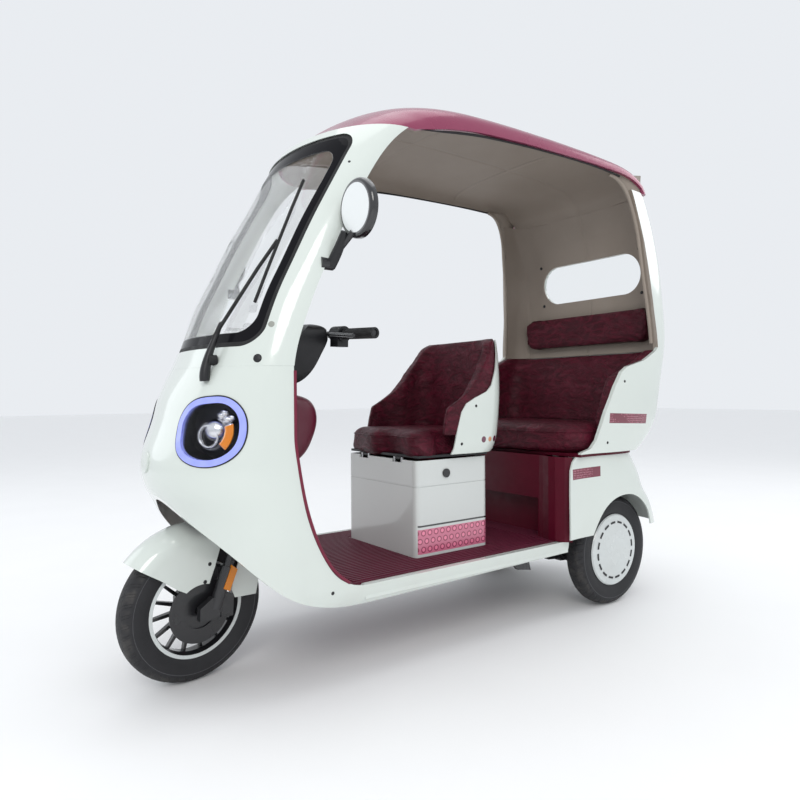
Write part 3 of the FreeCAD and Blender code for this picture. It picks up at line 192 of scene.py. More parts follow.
def paint(name, color, rough=0.2, coat=0.6, metal=0.0, dust=0.0, bands=(), lined=0.0):
    """Lacquered shell: faint mottling, orange peel, dust low down.

    bands holds pairs of a mask maker and a colour maker. Above the height lined, faces that look
    forward have the liner's colour.
    """
    g = Graph(name)
    tone = g.mix(g.noise(2.2, 2), shade(color, 0.965), shade(color, 1.02))
    if lined:
        geo = g.tree.nodes.new("ShaderNodeNewGeometry")
        sep = g.tree.nodes.new("ShaderNodeSeparateXYZ")
        g.link(geo.outputs["True Normal"], sep.inputs[0])
        front = g.times(g.ramp(sep.outputs[1], -0.8, -0.6, 1.0, 0.0), g.ramp(g.z, lined, lined + 0.02))
        tone = g.mix(front, tone, LINER)
    for mask, ink in bands:
        tone = g.mix(mask(g), tone, ink(g))
    if dust:
        low = g.math("MULTIPLY", g.ramp(g.z, 0.52, 0.2), g.ramp(g.noise(9, 5), 0.35, 0.75), True)
        tone = g.mix(g.times(low, dust), tone, DUST)
    peel = g.bump(g.noise(420, 2), 0.00012, 0.25)
    wave = g.bump(g.noise(3.0, 1), 0.004, 0.12, peel)
    rr = g.ramp(g.noise(14, 4), 0.3, 0.8, rough * 0.8, rough * 1.35)
    return g.put(Base_Color=tone, Roughness=rr, Metallic=metal, Coat_Weight=coat, Coat_Roughness=0.06,
                 Normal=wave)


def plastic(name, color, rough=0.5, grain=900, depth=0.0002, spec=0.4):
    g = Graph(name)
    tone = g.mix(g.noise(24, 4), shade(color, 0.85), shade(color, 1.15))
    pits = g.bump(g.cells(grain), depth, 0.5)
    rr = g.ramp(g.noise(30, 5), 0.3, 0.75, rough * 0.85, min(1, rough * 1.2))
    return g.put(Base_Color=tone, Roughness=rr, Specular_IOR_Level=spec, Normal=pits)


def leather(name, color):
    """Crinkled hide: long folds over fine pores, with a painted highlight on the fold crests and painted
    shade in the folds.
    """
    g = Graph(name)
    folds = g.noise(15, 6, 0.68, g.stretched(0.8, 0.8, 1.7), 2.4)
    fine = g.cells(330)
    # painted highlight and shade: fold crests lighter as if lit, fold hollows darker as if shaded
    ridge_highlight = g.ramp(folds, 0.4, 0.66)
    tone = g.mix(ridge_highlight, shade(color, 0.62), shade(color, 1.35))
    tone = g.mix(g.times(g.ramp(g.noise(5, 3), 0.4, 0.8), 0.25), tone, shade(color, 1.7))
    pores = g.bump(fine, 0.0003, 0.4, g.bump(folds, 0.011, 0.9))
    rr = g.ramp(folds, 0.3, 0.7, 0.5, 0.33)
    return g.put(Base_Color=tone, Roughness=rr, Specular_IOR_Level=0.22, Normal=pores)


def metal(name, color, rough=0.35, metallic=1.0, streak=(60, 60, 60)):
    g = Graph(name)
    n = g.noise(6, 5, 0.6, g.stretched(*streak))
    tone = g.mix(n, shade(color, 0.8), shade(color, 1.12))
    rr = g.ramp(n, 0.3, 0.7, rough * 0.75, rough * 1.3)
    return g.put(Base_Color=tone, Metallic=metallic, Roughness=rr, Normal=g.bump(n, 0.0001, 0.3))


def glass_graph(name, tint, rough=0.02, alpha=1.0, ior=1.45, weight=1.0):
    g = Graph(name)
    smear = g.ramp(g.noise(7, 5), 0.45, 0.9, rough, rough + 0.05)
    g.put(Base_Color=tint, Roughness=smear, Transmission_Weight=weight, IOR=ior, Alpha=alpha,
          Normal=g.bump(g.noise(60, 2), 0.00006, 0.2))
    return g


def glass(name, tint, rough=0.02, alpha=1.0, ior=1.45, weight=1.0):
    return glass_graph(name, tint, rough, alpha, ior, weight).mat


def rubber(name, centre, radius, turn=0.0):
    """Tyre: tread blocks across the crown, fine ribs and a line on the side walls."""
    g = Graph(name)
    sub = g.tree.nodes.new("ShaderNodeVectorMath")
    sub.operation = "SUBTRACT"
    g.link(g.where, sub.inputs[0])
    sub.inputs[1].default_value = centre
    rot = g.tree.nodes.new("ShaderNodeVectorRotate")
    rot.rotation_type = "Z_AXIS"
    g.link(sub.outputs[0], rot.inputs["Vector"])
    rot.inputs["Angle"].default_value = -turn
    sep = g.tree.nodes.new("ShaderNodeSeparateXYZ")
    g.link(rot.outputs[0], sep.inputs[0])
    across, y, z = sep.outputs
    r = g.reach(y, z)
    around = g.math("ARCTAN2", z, y)
    off = g.size_of(across)
    crown = g.ramp(r, radius - 0.022, radius - 0.014)
    chevron = g.math("SINE", g.plus(g.times(around, 46.0), g.times(off, 120.0)))
    blocks = g.ramp(chevron, -0.75, -0.45)
    groove = g.times(g.ramp(g.size_of(g.minus(off, 0.013)), 0.0012, 0.0024), blocks)
    tread = g.plus(g.times(crown, groove), g.minus(1.0, crown))
    ribs = g.math("SINE", g.times(r, 2100.0))
    side = g.times(g.band(r, radius * 0.72, radius * 0.8, 0.002), ribs)
    line = g.band(r, radius * 0.868, radius * 0.878, 0.0008)
    height = g.plus(tread, g.plus(g.times(side, 0.04), g.times(line, 0.25)))
    base = (0.018, 0.018, 0.02)
    tone = g.mix(g.noise(16, 5), shade(base, 0.8), shade(base, 1.5))
    worn = g.times(g.ramp(g.noise(30, 6), 0.42, 0.75), g.times(crown, 0.35))
    tone = g.mix(worn, tone, (0.11, 0.1, 0.09))
    tone = g.mix(g.times(line, 0.5), tone, (0.12, 0.12, 0.13))
    grain = g.bump(g.noise(500, 2), 0.0002, 0.3)
    return g.put(Base_Color=tone, Roughness=0.62, Specular_IOR_Level=0.35,
                 Normal=g.bump(height, 0.0045, 0.9, grain))


# Pieces
def carried(name, data, body):
    """Object of a mesh or a curve, on its body and in its colour slot."""
    ob = bpy.data.objects.new(name, data)
    bpy.context.scene.collection.objects.link(ob)
    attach(ob, body)
    return ob


def piece(name, verts, faces, mat, body="vehicle", smooth=True):
    me = bpy.data.meshes.new(name)
    me.from_pydata([tuple(v) for v in verts], [], faces)
    me.materials.append(mat)
    for p in me.polygons:
        p.use_smooth = smooth
    return carried(name, me, body)


def tube(name, pts, r, mat, body="vehicle", closed=False, kind="POLY", radii=None):
    """Round bar along points; radii are its thickness at each point, as shares of r."""
    cu = bpy.data.curves.new(name, "CURVE")
    cu.dimensions, cu.bevel_depth, cu.bevel_resolution, cu.use_fill_caps = "3D", r, 3, True
    sp = cu.splines.new(kind)
    sp.points.add(len(pts) - 1)
    for q, p in zip(sp.points, pts):
        q.co = (*p, 1)
    for q, k in zip(sp.points, radii or ()):
        q.radius = k
    if kind == "NURBS":
        sp.order_u = 4
        sp.use_endpoint_u = not closed
    sp.use_cyclic_u = closed
    cu.materials.append(mat)
    return carried(name, cu, body)


def tree_of(*names):
    """Search tree over the faces of some nodes."""
    verts, faces = [], []
    for n in names:
        me = NODES[n].data
        k = len(verts)
        verts += [v.co.copy() for v in me.vertices]
        faces += [[i + k for i in p.vertices] for p in me.polygons]
    return BVHTree.FromPolygons(verts, faces)


def hit(tree, origin, way):
    """First point that a ray meets, and the surface's normal there, turned to face the ray."""
    where, normal, _, _ = tree.ray_cast(Vector(origin), Vector(way).normalized())
    if where is not None and normal.dot(Vector(way)) > 0:
        normal = -normal
    return where, normal


# how deep a head's foot lies in its surface, in metres
SUNK = 0.0006


def dome(name, spots, r, h, mat, body="vehicle", sides=16, rings=4):
    """Low round heads, a little sunk in a surface: spots are (place, outward normal)."""
    verts, faces = [], []
    for p, n in spots:
        if p is None:
            continue
        side = n.orthogonal().normalized()
        other = n.cross(side)
        k = len(verts)
        for j in range(rings + 1):
            t = j / rings * math.pi / 2
            up = h * math.sin(t)
            rad = r * (math.cos(t) if j < rings else 0.05)
            for i in range(sides):
                a = 2 * math.pi * i / sides
                verts.append(p + n * (up - SUNK) + (side * math.cos(a) + other * math.sin(a)) * rad)
        for j in range(rings):
            for i in range(sides):
                faces.append((k + j * sides + i, k + j * sides + (i + 1) % sides,
                              k + (j + 1) * sides + (i + 1) % sides, k + (j + 1) * sides + i))
        faces.append([k + rings * sides + i for i in range(sides)])
    return piece(name, verts, faces, mat, body)


def ring_of(name, centre, axis, r0, r1, x0, x1, mat, body, parts=1, fill=1.0, steps=96):
    """Flat ring, or its dashes, about an axis: radii r0 to r1, from x0 to x1 along it."""
    axis = Vector(axis).normalized()
    side = axis.orthogonal().normalized()
    other = axis.cross(side)
    verts, faces = [], []
    for part in range(parts):
        a0 = 2 * math.pi * part / parts
        span = 2 * math.pi / parts * fill
        n = max(4, int(steps * fill / parts))
        closed = parts == 1 and fill >= 1.0
        k = len(verts)
        cols = n if closed else n + 1
        for i in range(cols):
            a = a0 + span * i / n
            d = side * math.cos(a) + other * math.sin(a)
            for r, x in ((r0, x0), (r0, x1), (r1, x1), (r1, x0)):
                verts.append(centre + d * r + axis * x)
        for i in range(n):
            p, q = k + 4 * i, k + 4 * ((i + 1) % cols)
            for j in range(4):
                faces.append((p + j, p + (j + 1) % 4, q + (j + 1) % 4, q + j))
        if not closed:
            faces.append((k, k + 1, k + 2, k + 3))
            e = k + 4 * (cols - 1)
            faces.append((e + 3, e + 2, e + 1, e))
    return piece(name, verts, faces, mat, body, smooth=False)


def mesh_of(ob):
    deps = bpy.context.evaluated_depsgraph_get()
    return bpy.data.meshes.new_from_object(ob.evaluated_get(deps))


# stuffing pressure, and the frames over which the covers settle
PRESSURE, FRAMES = 4.0, 20


def soft(node, mat, body, cap, voxel, fill=0.75, shrink=0.003, smooth=6, shaping=None):
    """Stuffed piece from a node's shape, swelled by pressure and held within cap of where it began."""
    ob = bpy.data.objects.new(node + "_soft", NODES[node].data.copy())
    bpy.context.scene.collection.objects.link(ob)
    m = ob.modifiers.new("remesh", "REMESH")
    m.mode, m.voxel_size = "VOXEL", voxel
    ob.data = mesh_of(ob)
    ob.modifiers.clear()
    start = [v.co - v.normal * shrink for v in ob.data.vertices]
    if shaping:
        start = [shaping(v) for v in start]
    for v, at in zip(ob.data.vertices, start):
        v.co = at
    cloth = ob.modifiers.new("cloth", "CLOTH")
    cloth.settings.use_pressure = True
    cloth.settings.uniform_pressure_force = PRESSURE
    cloth.settings.effector_weights.gravity = 0
    cloth.settings.tension_stiffness = cloth.settings.compression_stiffness = 15
    cloth.settings.bending_stiffness = 0.6
    cloth.collision_settings.use_collision = False
    cloth.point_cache.frame_start, cloth.point_cache.frame_end = 1, FRAMES
    for f in range(1, FRAMES + 1):
        bpy.context.scene.frame_set(f)
    done = mesh_of(ob)
    ob.modifiers.clear()
    for v, a in zip(done.vertices, start):
        d = v.co - a
        if d.length > cap:
            v.co = a + d.normalized() * cap
    ob.data = done
    bpy.context.scene.frame_set(1)
    s = ob.modifiers.new("smooth", "SMOOTH")
    s.iterations, s.factor = smooth, 0.5
    ob.data = mesh_of(ob)
    ob.modifiers.clear()
    ob.data.materials.clear()
    ob.data.materials.append(mat)
    for p in ob.data.polygons:
        p.use_smooth = True
    sub = ob.modifiers.new("fine", "SUBSURF")
    sub.levels = sub.render_levels = 1
    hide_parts(node)
    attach(ob, body)
    return ob


def tree_of_object(ob):
    me = ob.data
    return BVHTree.FromPolygons([v.co.copy() for v in me.vertices], [list(p.vertices) for p in me.polygons])


def loop_round(tree, centre, z, reach, n=72):
    """Loop of points on a surface at height z, where rays toward the centre meet it."""
    pts = []
    for i in range(n):
        a = 2 * math.pi * i / n
        d = Vector((math.cos(a), math.sin(a), 0))
        p, _ = hit(tree, Vector((centre[0], centre[1], z)) + d * reach, -d)
        if p is not None:
            pts.append(p)
    return pts


# Room and lights
camera()
world = bpy.data.worlds.new("world")
bpy.context.scene.world = world
world.use_nodes = True
sky = world.node_tree.nodes["Background"]
sky.inputs["Color"].default_value = (0.93, 0.96, 1.0, 1)
sky.inputs["Strength"].default_value = 0.88
bpy.context.scene.view_settings.view_transform = "Standard"
light("key", (4.5, -3.5, 4.2), (0, 0, 0.8), 3.0, 120, (1.0, 0.98, 0.95))
light("fill", (-4.0, -4.0, 2.6), (0, 0, 0.8), 3.5, 25, (0.92, 0.96, 1.0))
light("back", (1.5, 5.0, 3.6), (0, 0, 1.0), 3.0, 40)
light("top", (0, 0, 5.0), (0, 0, 0), 4.0, 40)

ground = Graph("ground")
ground_tone = ground.mix(ground.noise(3, 4), (0.9, 0.9, 0.9), (0.93, 0.93, 0.93))
ground.put(Base_Color=ground_tone, Roughness=0.7)
bpy.ops.mesh.primitive_plane_add(size=60, location=(0, 0, 0))
floor = bpy.context.object
floor.name = "studio_floor"
floor.data.materials.append(ground.mat)

# Colours
WHITE, WINE = (0.64, 0.69, 0.65), (0.07, 0.0045, 0.014)
BLACK, PANE = (0.012, 0.012, 0.014), (0.93, 0.96, 0.95)
LINER, DUST = (0.28, 0.235, 0.195), (0.45, 0.42, 0.38)
BAND_BACK, BAND_FRONT = (0.16, 0.012, 0.035), (0.40, 0.13, 0.18)
BAND_PINK, BAND_RING = (0.62, 0.17, 0.27), (0.25, 0.03, 0.075)
MARK_WINE, MARK_TAN = (0.12, 0.02, 0.05), (0.55, 0.25, 0.12)


def rows(pattern_scale, back, front):
    """Small diamonds and dots in two tones."""
    def ink(g):
        spots = g.cells(pattern_scale, jitter=0.25)
        return g.mix(g.ramp(spots, 0.28, 0.34), front, back)
    return ink


def rings_on(scale, back, line):
    """Staggered rows of small rings on the side faces."""
    def ink(g):
        v = g.times(g.z, scale)
        shift = g.times(g.math("FLOOR", v), 0.5)
        u = g.plus(g.times(g.y, scale), shift)
        d = g.reach(g.minus(g.math("FRACT", u), 0.5), g.minus(g.math("FRACT", v), 0.5))
        ring = g.times(g.ramp(d, 0.24, 0.27), g.ramp(d, 0.36, 0.39, 1.0, 0.0))
        field = g.mix(g.ramp(d, 0.2, 0.24), shade(back, 1.35), back)
        return g.mix(ring, field, line)
    return ink


def plain(color):
    return lambda g: g.mix(g.noise(30, 2), shade(color, 0.9), shade(color, 1.1))


# half the width over which a mark's edge fades, in metres
EDGE = 0.0005


def flanks(x):
    """Both sides of the vehicle beyond x."""
    return lambda g: g.ramp(g.size_of(g.x), x - EDGE, x + EDGE)


def dot_at(y, z, r):
    """Round dot in the side view."""
    def mask(g):
        d = g.reach(g.minus(g.y, back_y(y)), g.minus(g.z, z / 1000))
        return g.ramp(d, r - EDGE, r + EDGE, 1.0, 0.0)
    return mask


def both_of(*makers):
    def mask(g):
        out = None
        for m in makers:
            v = m(g)
            out = v if out is None else g.times(out, v)
        return out
    return mask


def zone(axis, lo, hi):
    return lambda g: g.band(getattr(g, axis), lo, hi)


def near_mirror(g):
    """Inside of the mirror back, round either mirror's middle."""
    mid_x, mid_z, reach = 0.420, 1.320, 0.0646
    d = g.reach(g.minus(g.size_of(g.x), mid_x), g.minus(g.z, mid_z))
    inside = g.ramp(d, reach - 0.0006, reach + 0.0006, 1.0, 0.0)
    return g.times(inside, g.ramp(g.y, back_y(322), back_y(323), 1.0, 0.0))


def slanted(y0, z0, y1, z1, half):
    """Strip of half width along a line in the side view, as long as the line."""
    k = (z1 - z0) / (y1 - y0)

    def mask(g):
        mid = g.plus(g.times(g.minus(g.y, back_y(y0)), k), z0 / 1000)
        off = g.minus(g.z, mid)
        return g.times(g.band(off, -half, half), g.band(g.y, back_y(y0), back_y(y1)))
    return mask


# Finishes, with the bands and marks of the shells; the seat box is banded beyond BOX_SIDE
BOX_SIDE = 0.203
white = paint("white_shell", WHITE, 0.16, 0.8)
seat_white = paint("white_seat_shell", WHITE, 0.16, 0.8, bands=(
    (dot_at(959, 665, 0.011), plain(MARK_WINE)),
    (dot_at(991, 665, 0.009), plain(MARK_TAN)),
    (dot_at(1021, 665, 0.011), plain(MARK_WINE))))
mirror_white = paint("white_mirror_back", (0.72, 0.75, 0.75), 0.12, 0.8, bands=(
    (lambda g: g.minus(1.0, near_mirror(g)), plain(BLACK)),))
white_low = paint("white_front", WHITE, 0.16, 0.8, dust=0.12)
shell_white = paint("white_rear", WHITE, 0.16, 0.8, lined=0.99, bands=(
    (slanted(1427, 731, 1652, 723, 0.0185), rows(120, BAND_BACK, BAND_FRONT)),))
tail_white = paint("white_tail", WHITE, 0.18, 0.7, dust=0.15, bands=(
    (slanted(1265, 530, 1420, 533, 0.019), rows(120, BAND_BACK, BAND_FRONT)),))
box_white = paint("white_box", (0.60, 0.625, 0.61), 0.2, 0.7, bands=(
    (both_of(flanks(BOX_SIDE), zone("z", 0.296, 0.377)), rings_on(37, BAND_PINK, BAND_RING)),
    (both_of(flanks(BOX_SIDE), zone("z", 0.385, 0.391)), plain((0.03, 0.03, 0.03))),))
roof_wine = paint("wine_roof", (0.25, 0.03, 0.085), 0.3, 0.4, 0.2)
cover_white = paint("white_disc", (0.60, 0.635, 0.63), 0.25, 0.4, dust=0.1)
black = plastic("black_mould", BLACK, 0.42)
black_soft = plastic("black_grip", (0.014, 0.014, 0.015), 0.7, 300, 0.0008)
black_paint = paint("black_paint", BLACK, 0.32, 0.35)
wine_trim = plastic("wine_trim", (0.115, 0.008, 0.026), 0.36, 1100, 0.0002, 0.5)
wine_dark = plastic("wine_base", (0.085, 0.002, 0.013), 0.45, 1100, 0.0002, 0.22)
seat_wine = leather("wine_hide", WINE)
chrome = metal("chrome", (0.75, 0.75, 0.77), 0.12)
steel = metal("steel", (0.42, 0.42, 0.43), 0.35)
mirror_face = metal("mirror_face", (0.88, 0.9, 0.92), 0.03, 1.0, (2, 2, 2))
PANE_ALPHA = 0.32
clear = glass("clear_pane", PANE, 0.01, PANE_ALPHA, 1.12)


def bordered_pane():
    """Windscreen with its black printed border, a rounded frame in the front view."""
    g = glass_graph("bordered_pane", PANE, 0.01, PANE_ALPHA, 1.12)
    half_x, half_z, mid_z, corner = 0.264, 0.2715, 1.2635, 0.05
    past_x = g.math("MAXIMUM", g.minus(g.size_of(g.x), half_x - corner), 0.0)
    past_z = g.math("MAXIMUM", g.minus(g.size_of(g.minus(g.z, mid_z)), half_z - corner), 0.0)
    border = g.ramp(g.reach(past_x, past_z), corner - 0.001, corner + 0.001)
    return g.put(Base_Color=g.mix(border, PANE, (0.01, 0.01, 0.012)),
                 Transmission_Weight=g.ramp(border, 0.0, 1.0, 1.0, 0.0),
                 Alpha=g.ramp(border, 0.0, 1.0, PANE_ALPHA, 1.0))


screen_pane = bordered_pane()
lens_clear = glass("lamp_pane", (0.95, 0.97, 1.0), 0.01, 0.35, 1.2)
amber = glass("amber_lens", (0.95, 0.32, 0.02), 0.12, 1.0, 1.45, 0.35)
red = glass("red_lens", (0.55, 0.01, 0.015), 0.12, 1.0, 1.45, 0.3)


def glow(name, color, power):
    g = Graph(name)
    tone = g.mix(g.noise(40, 3), shade(color, 0.8), shade(color, 1.15))
    return g.put(Base_Color=tone, Roughness=0.2, Coat_Weight=0.8,
                 Emission_Color=tone, Emission_Strength=power)


ring_glow = glow("ring_glow", (0.26, 0.30, 0.78), 0.35)


def liner():
    """Beige moulded lining, with shallow folds both ways."""
    g = Graph("beige_liner")
    pores = g.bump(g.cells(700), 0.0003, 0.5)
    along = g.ramp(g.size_of(g.math("SINE", g.times(g.x, 9.2))), 0.0, 0.12)
    across = g.ramp(g.size_of(g.math("SINE", g.times(g.y, 6.4))), 0.0, 0.09)
    tone = g.mix(g.noise(6, 4), (0.25, 0.21, 0.175), (0.31, 0.265, 0.225))
    return g.put(Base_Color=tone, Roughness=0.62, Specular_IOR_Level=0.35,
                 Normal=g.bump(g.math("MINIMUM", along, across), 0.004, 0.6, pores))


def ribbed_mat(pitch=0.008):
    """Floor mat, with fine ribs along the vehicle."""
    g = Graph("wine_mat")
    rib = g.math("SINE", g.times(g.x, 2 * math.pi / pitch))
    pores = g.bump(g.cells(500), 0.0003, 0.4)
    tone = g.mix(g.noise(18, 5), (0.075, 0.004, 0.018), (0.13, 0.009, 0.034))
    return g.put(Base_Color=tone, Roughness=0.55, Normal=g.bump(rib, 0.0006, 0.5, pores))


beige, wine_mat = liner(), ribbed_mat()

# Wheel places, in millimetres: tyre radius, rear hubs and front hub; steering angles in degrees
TYRE_R, HUB_X, HUB_Y, FRONT_Y = 213, 308, 1556, 15
PARKED, RAKE = 8.0, 19.0
HEAD = Vector((0, 0.050 - MIDDLE, 0.230))


def turned(p):
    """Point of the straight-ahead front end, at its parked turn."""
    stem = Vector((0, math.sin(math.radians(RAKE)), math.cos(math.radians(RAKE))))
    return HEAD + Matrix.Rotation(math.radians(PARKED), 3, stem) @ (Vector(p) - HEAD)


FRONT_HUB = turned(place(0, FRONT_Y, TYRE_R))
FRONT_AXIS = (turned(place(100, FRONT_Y, TYRE_R)) - FRONT_HUB).normalized()
front_rubber = rubber("front_rubber", FRONT_HUB, TYRE_R / 1000, math.atan2(FRONT_AXIS.y, FRONT_AXIS.x))
left_rubber = rubber("left_rubber", place(HUB_X, HUB_Y, TYRE_R), TYRE_R / 1000)
right_rubber = rubber("right_rubber", place(-HUB_X, HUB_Y, TYRE_R), TYRE_R / 1000)

PAINTS = {
    white_low: "front_fairing nose_button front_fender",
    white: "windscreen_frame",
    seat_white: "driver_seat_shell",
    mirror_white: "mirror_heads",
    shell_white: "rear_shell",
    tail_white: "rear_body",
    box_white: "seat_box",
    roof_wine: "roof_cap",
    cover_white: "rear_left_cover rear_right_cover",
    black: "headlamp_bowls driver_seat_pan battery_pack instrument_cowl switch_pods",
    black_soft: "handlebar_grips windscreen_seal wiper",
    black_paint: "front_brake_disc chassis_frame rear_axle leaf_springs mirror_arms fork handlebar "
                 "brake_levers brake_caliper front_rim rear_left_rim rear_right_rim plate_holder "
                 "seat_box_lock",
    wine_trim: "leg_shield column_cover dash_shelf",
    wine_dark: "rear_deck bench_base",
    seat_wine: "driver_seat_back driver_seat_cushion rear_seat_back rear_seat_cushion rear_headrest",
    chrome: "headlamp_projectors",
    steel: "seat_hinge_pins",
    mirror_face: "mirror_glasses",
    screen_pane: "windscreen_glass",
    clear: "rear_window",
    lens_clear: "headlamp_lenses",
    amber: "fork_reflectors",
    red: "tail_lamps",
    ring_glow: "headlamp_rings",
    beige: "roof_liner rear_trim_panel",
    wine_mat: "floor_mat",
    front_rubber: "front_tyre",
    left_rubber: "rear_left_tyre",
    right_rubber: "rear_right_tyre",
}
for finish, names in PAINTS.items():
    for node in names.split():
        for s in NODES[node].material_slots:
            s.material = finish
        if not NODES[node].material_slots:
            NODES[node].data.materials.append(finish)

bpy.context.view_layer.update()

# Wheels: white rim ring, black dashes on the disc covers
ring_of("front_rim_ring", FRONT_HUB, FRONT_AXIS, 0.131, 0.141, 0.0305, 0.0325, cover_white, "front_wheel")
for side, body in ((1, "rear_left_wheel"), (-1, "rear_right_wheel")):
    hub = place(side * HUB_X, HUB_Y, TYRE_R)
    ring_of("disc_dashes_" + body, hub, (side, 0, 0), 0.1035, 0.111, 0.0405, 0.0422, black, body, 16, 0.62)

# Small heads: each is where a ray from outside meets the skin
FROM_SIDE = ((400, 290, 279), (480, 1505, 867), (480, 1427, 640), (300, 922, 782), (300, 859, 654))
GUARD_BOLTS = ((37, 346), (23, 297))
# the grey of the pillar dimples is painted shade: a low grey head stands in for the shade in each dimple
dimple_shade_mat = plastic("dimple_painted_shade", (0.30, 0.31, 0.28), 0.5)
skin = tree_of("front_fairing", "windscreen_frame", "rear_shell", "rear_body", "driver_seat_shell",
               "seat_box", "rear_trim_panel")
guard = tree_of("front_fender")
bolts, dimple_shade_spots, hole_shade_spots = [], [], []
for s in (1, -1):
    bolts += [hit(skin, place(s * x, y, z), (-s, 0, 0)) for x, y, z in FROM_SIDE]
    dimple_shade_spots.append(hit(skin, place(s * 420, 129, 1011), (-s, 0, 0)))
    # rays step back along the pillar, and the black head of painted shade for the pillar's hole takes the
    # second one that meets it
    along = [hit(skin, place(s * 420, y, 1484), (-s, 0, 0)) for y in range(340, 480, 10)]
    hole_shade_spots += [found for found in along if found[0] is not None and found[0].x * s > 0.2][1:2]
dome("body_bolts", bolts, 0.0055, 0.0025, black)
# grey heads of painted shade, one in each pillar dimple
dome("pillar_dimple_shade", dimple_shade_spots, 0.010, 0.0012, dimple_shade_mat)
# black heads of painted shade, standing in for the dark holes in the pillars
dome("pillar_hole_shade", hole_shade_spots, 0.0045, 0.0016, black)
window = [hit(skin, place(s * 268, 1500, z), (0, 1, 0)) for s in (-1, 1) for z in (1252, 1436)]
dome("window_bolts", window, 0.0075, 0.004, black)
dome("cowl_plug", [hit(skin, place(299, -400, 920), (0, 1, 0))], 0.012, 0.004, black)
bolts = []
for y, z in GUARD_BOLTS:
    for s in (1, -1):
        outside = turned(place(s * 120, y, z))
        bolts.append(hit(guard, outside, turned(place(0, y, z)) - outside))
dome("guard_bolts", bolts, 0.006, 0.003, black, "front_end")


# Seats
def eased(v, lo, hi):
    """Smooth step from 0 at lo to 1 at hi."""
    t = max(0.0, min(1.0, (v - lo) / (hi - lo)))
    return t * t * (3 - 2 * t)


def bucket(v):
    """Driver's back: thin wings, a fuller shoulder and a foot that meets the cushion."""
    x, y, z = v.x, v.y + MIDDLE, v.z
    wing = eased(0.945 - y, 0.0, 0.09) * eased(abs(x), 0.15, 0.19)
    half = 0.234
    ax = half - (half - abs(x)) * (1 - 0.62 * wing)
    shoulder = math.exp(-((y - 0.92) ** 2 + (z - 0.90) ** 2) / 0.006)
    dz = 0.016 * shoulder + 0.010 * eased(z, 0.94, 1.02) - 0.014 * eased(0.735 - z, 0.0, 0.03)
    return Vector((math.copysign(ax, x), v.y - 0.006 * shoulder, z + dz))


def bench_squab(v):
    """Driver's cushion: its skirt comes down over the pan, less over the hinge."""
    low = eased(0.665 - v.z, 0.0, 0.035)
    rear = eased(v.y + MIDDLE, 0.715, 0.76)
    return Vector((v.x * (1.01 + 0.06 * low), v.y, v.z - low * (0.006 + 0.007 * rear)))


def closer(v):
    """Rear back: its foot comes down to the cushion."""
    return Vector((v.x, v.y, v.z - 0.014 * eased(0.75 - v.z, 0.0, 0.04) + 0.007 * eased(v.z, 0.93, 0.985)))


driver_cushion = soft("driver_seat_cushion", seat_wine, "driver_seat", 0.010, 0.006, shrink=0.0,
                      shaping=bench_squab)
soft("driver_seat_back", seat_wine, "driver_seat", 0.0035, 0.006, smooth=14, shaping=bucket)
rear_cushion = soft("rear_seat_cushion", seat_wine, "vehicle", 0.012, 0.008)
soft("rear_seat_back", seat_wine, "vehicle", 0.008, 0.008, shaping=closer)
soft("rear_headrest", seat_wine, "vehicle", 0.008, 0.008)
seam = loop_round(tree_of_object(driver_cushion), (0, back_y(852)), 0.679, 0.6)
tube("driver_piping", seam, 0.0028, seat_wine, "driver_seat", True)
seam = loop_round(tree_of_object(rear_cushion), (0, back_y(1490)), 0.680, 0.9, 120)
tube("bench_piping", seam, 0.003, seat_wine, "vehicle", True)

# Headlamps: middle of the left one in millimetres, and its turn outward
LAMP_X, LAMP_Y, LAMP_Z = 224, -12, 730
LAMP_TURN = math.radians(33)
UP = Vector((0, 0, 1))
lens_tree = tree_of("headlamp_lenses", "headlamp_rings", "front_fairing")
ring_verts = [v.co for v in NODES["headlamp_rings"].data.vertices]


def lamp_frame(s):
    """Middle of a lamp, its way outward along its face, and its way back into the nose."""
    c = place(s * LAMP_X, LAMP_Y, LAMP_Z)
    out = Vector((s * math.cos(LAMP_TURN), math.sin(LAMP_TURN), 0))
    back = Vector((-s * math.sin(LAMP_TURN), math.cos(LAMP_TURN), 0))
    return c, out, back


def lamp_point(s, e, h, depth):
    """Point e outward and h up from the lamp's middle, depth behind its front skin."""
    c, out, back = lamp_frame(s)
    p, _ = hit(lens_tree, c + out * e + UP * h - back * 0.2, back)
    return None if p is None else p + back * depth


def lamp_patch(name, s, r0, r1, a0, a1, d0, d1, mat, nr=5, na=24):
    """Curved block behind the lens: radii r0 to r1, angles a0 to a1 in degrees, depths d0 to d1."""
    verts = []
    for depth in (d0, d1):
        for i in range(nr + 1):
            r = r0 + (r1 - r0) * i / nr
            for j in range(na + 1):
                a = math.radians(a0 + (a1 - a0) * j / na)
                verts.append(lamp_point(s, r * math.cos(a), r * math.sin(a), depth))
    w, k = na + 1, (na + 1) * (nr + 1)
    faces = []
    for i in range(nr):
        for j in range(na):
            a = i * w + j
            faces.append((a, a + 1, a + w + 1, a + w))
            faces.append((k + a, k + a + w, k + a + w + 1, k + a + 1))
    rim = list(range(w)) + [i * w + na for i in range(1, nr + 1)]
    rim += [nr * w + j for j in range(na - 1, -1, -1)] + [i * w for i in range(nr - 1, 0, -1)]
    for a, b in zip(rim, rim[1:] + rim[:1]):
        faces.append((a, k + a, k + b, b))
    return piece(name, verts, faces, mat)


# degrees from one point of the lamp's rim to the next
STEP = 5


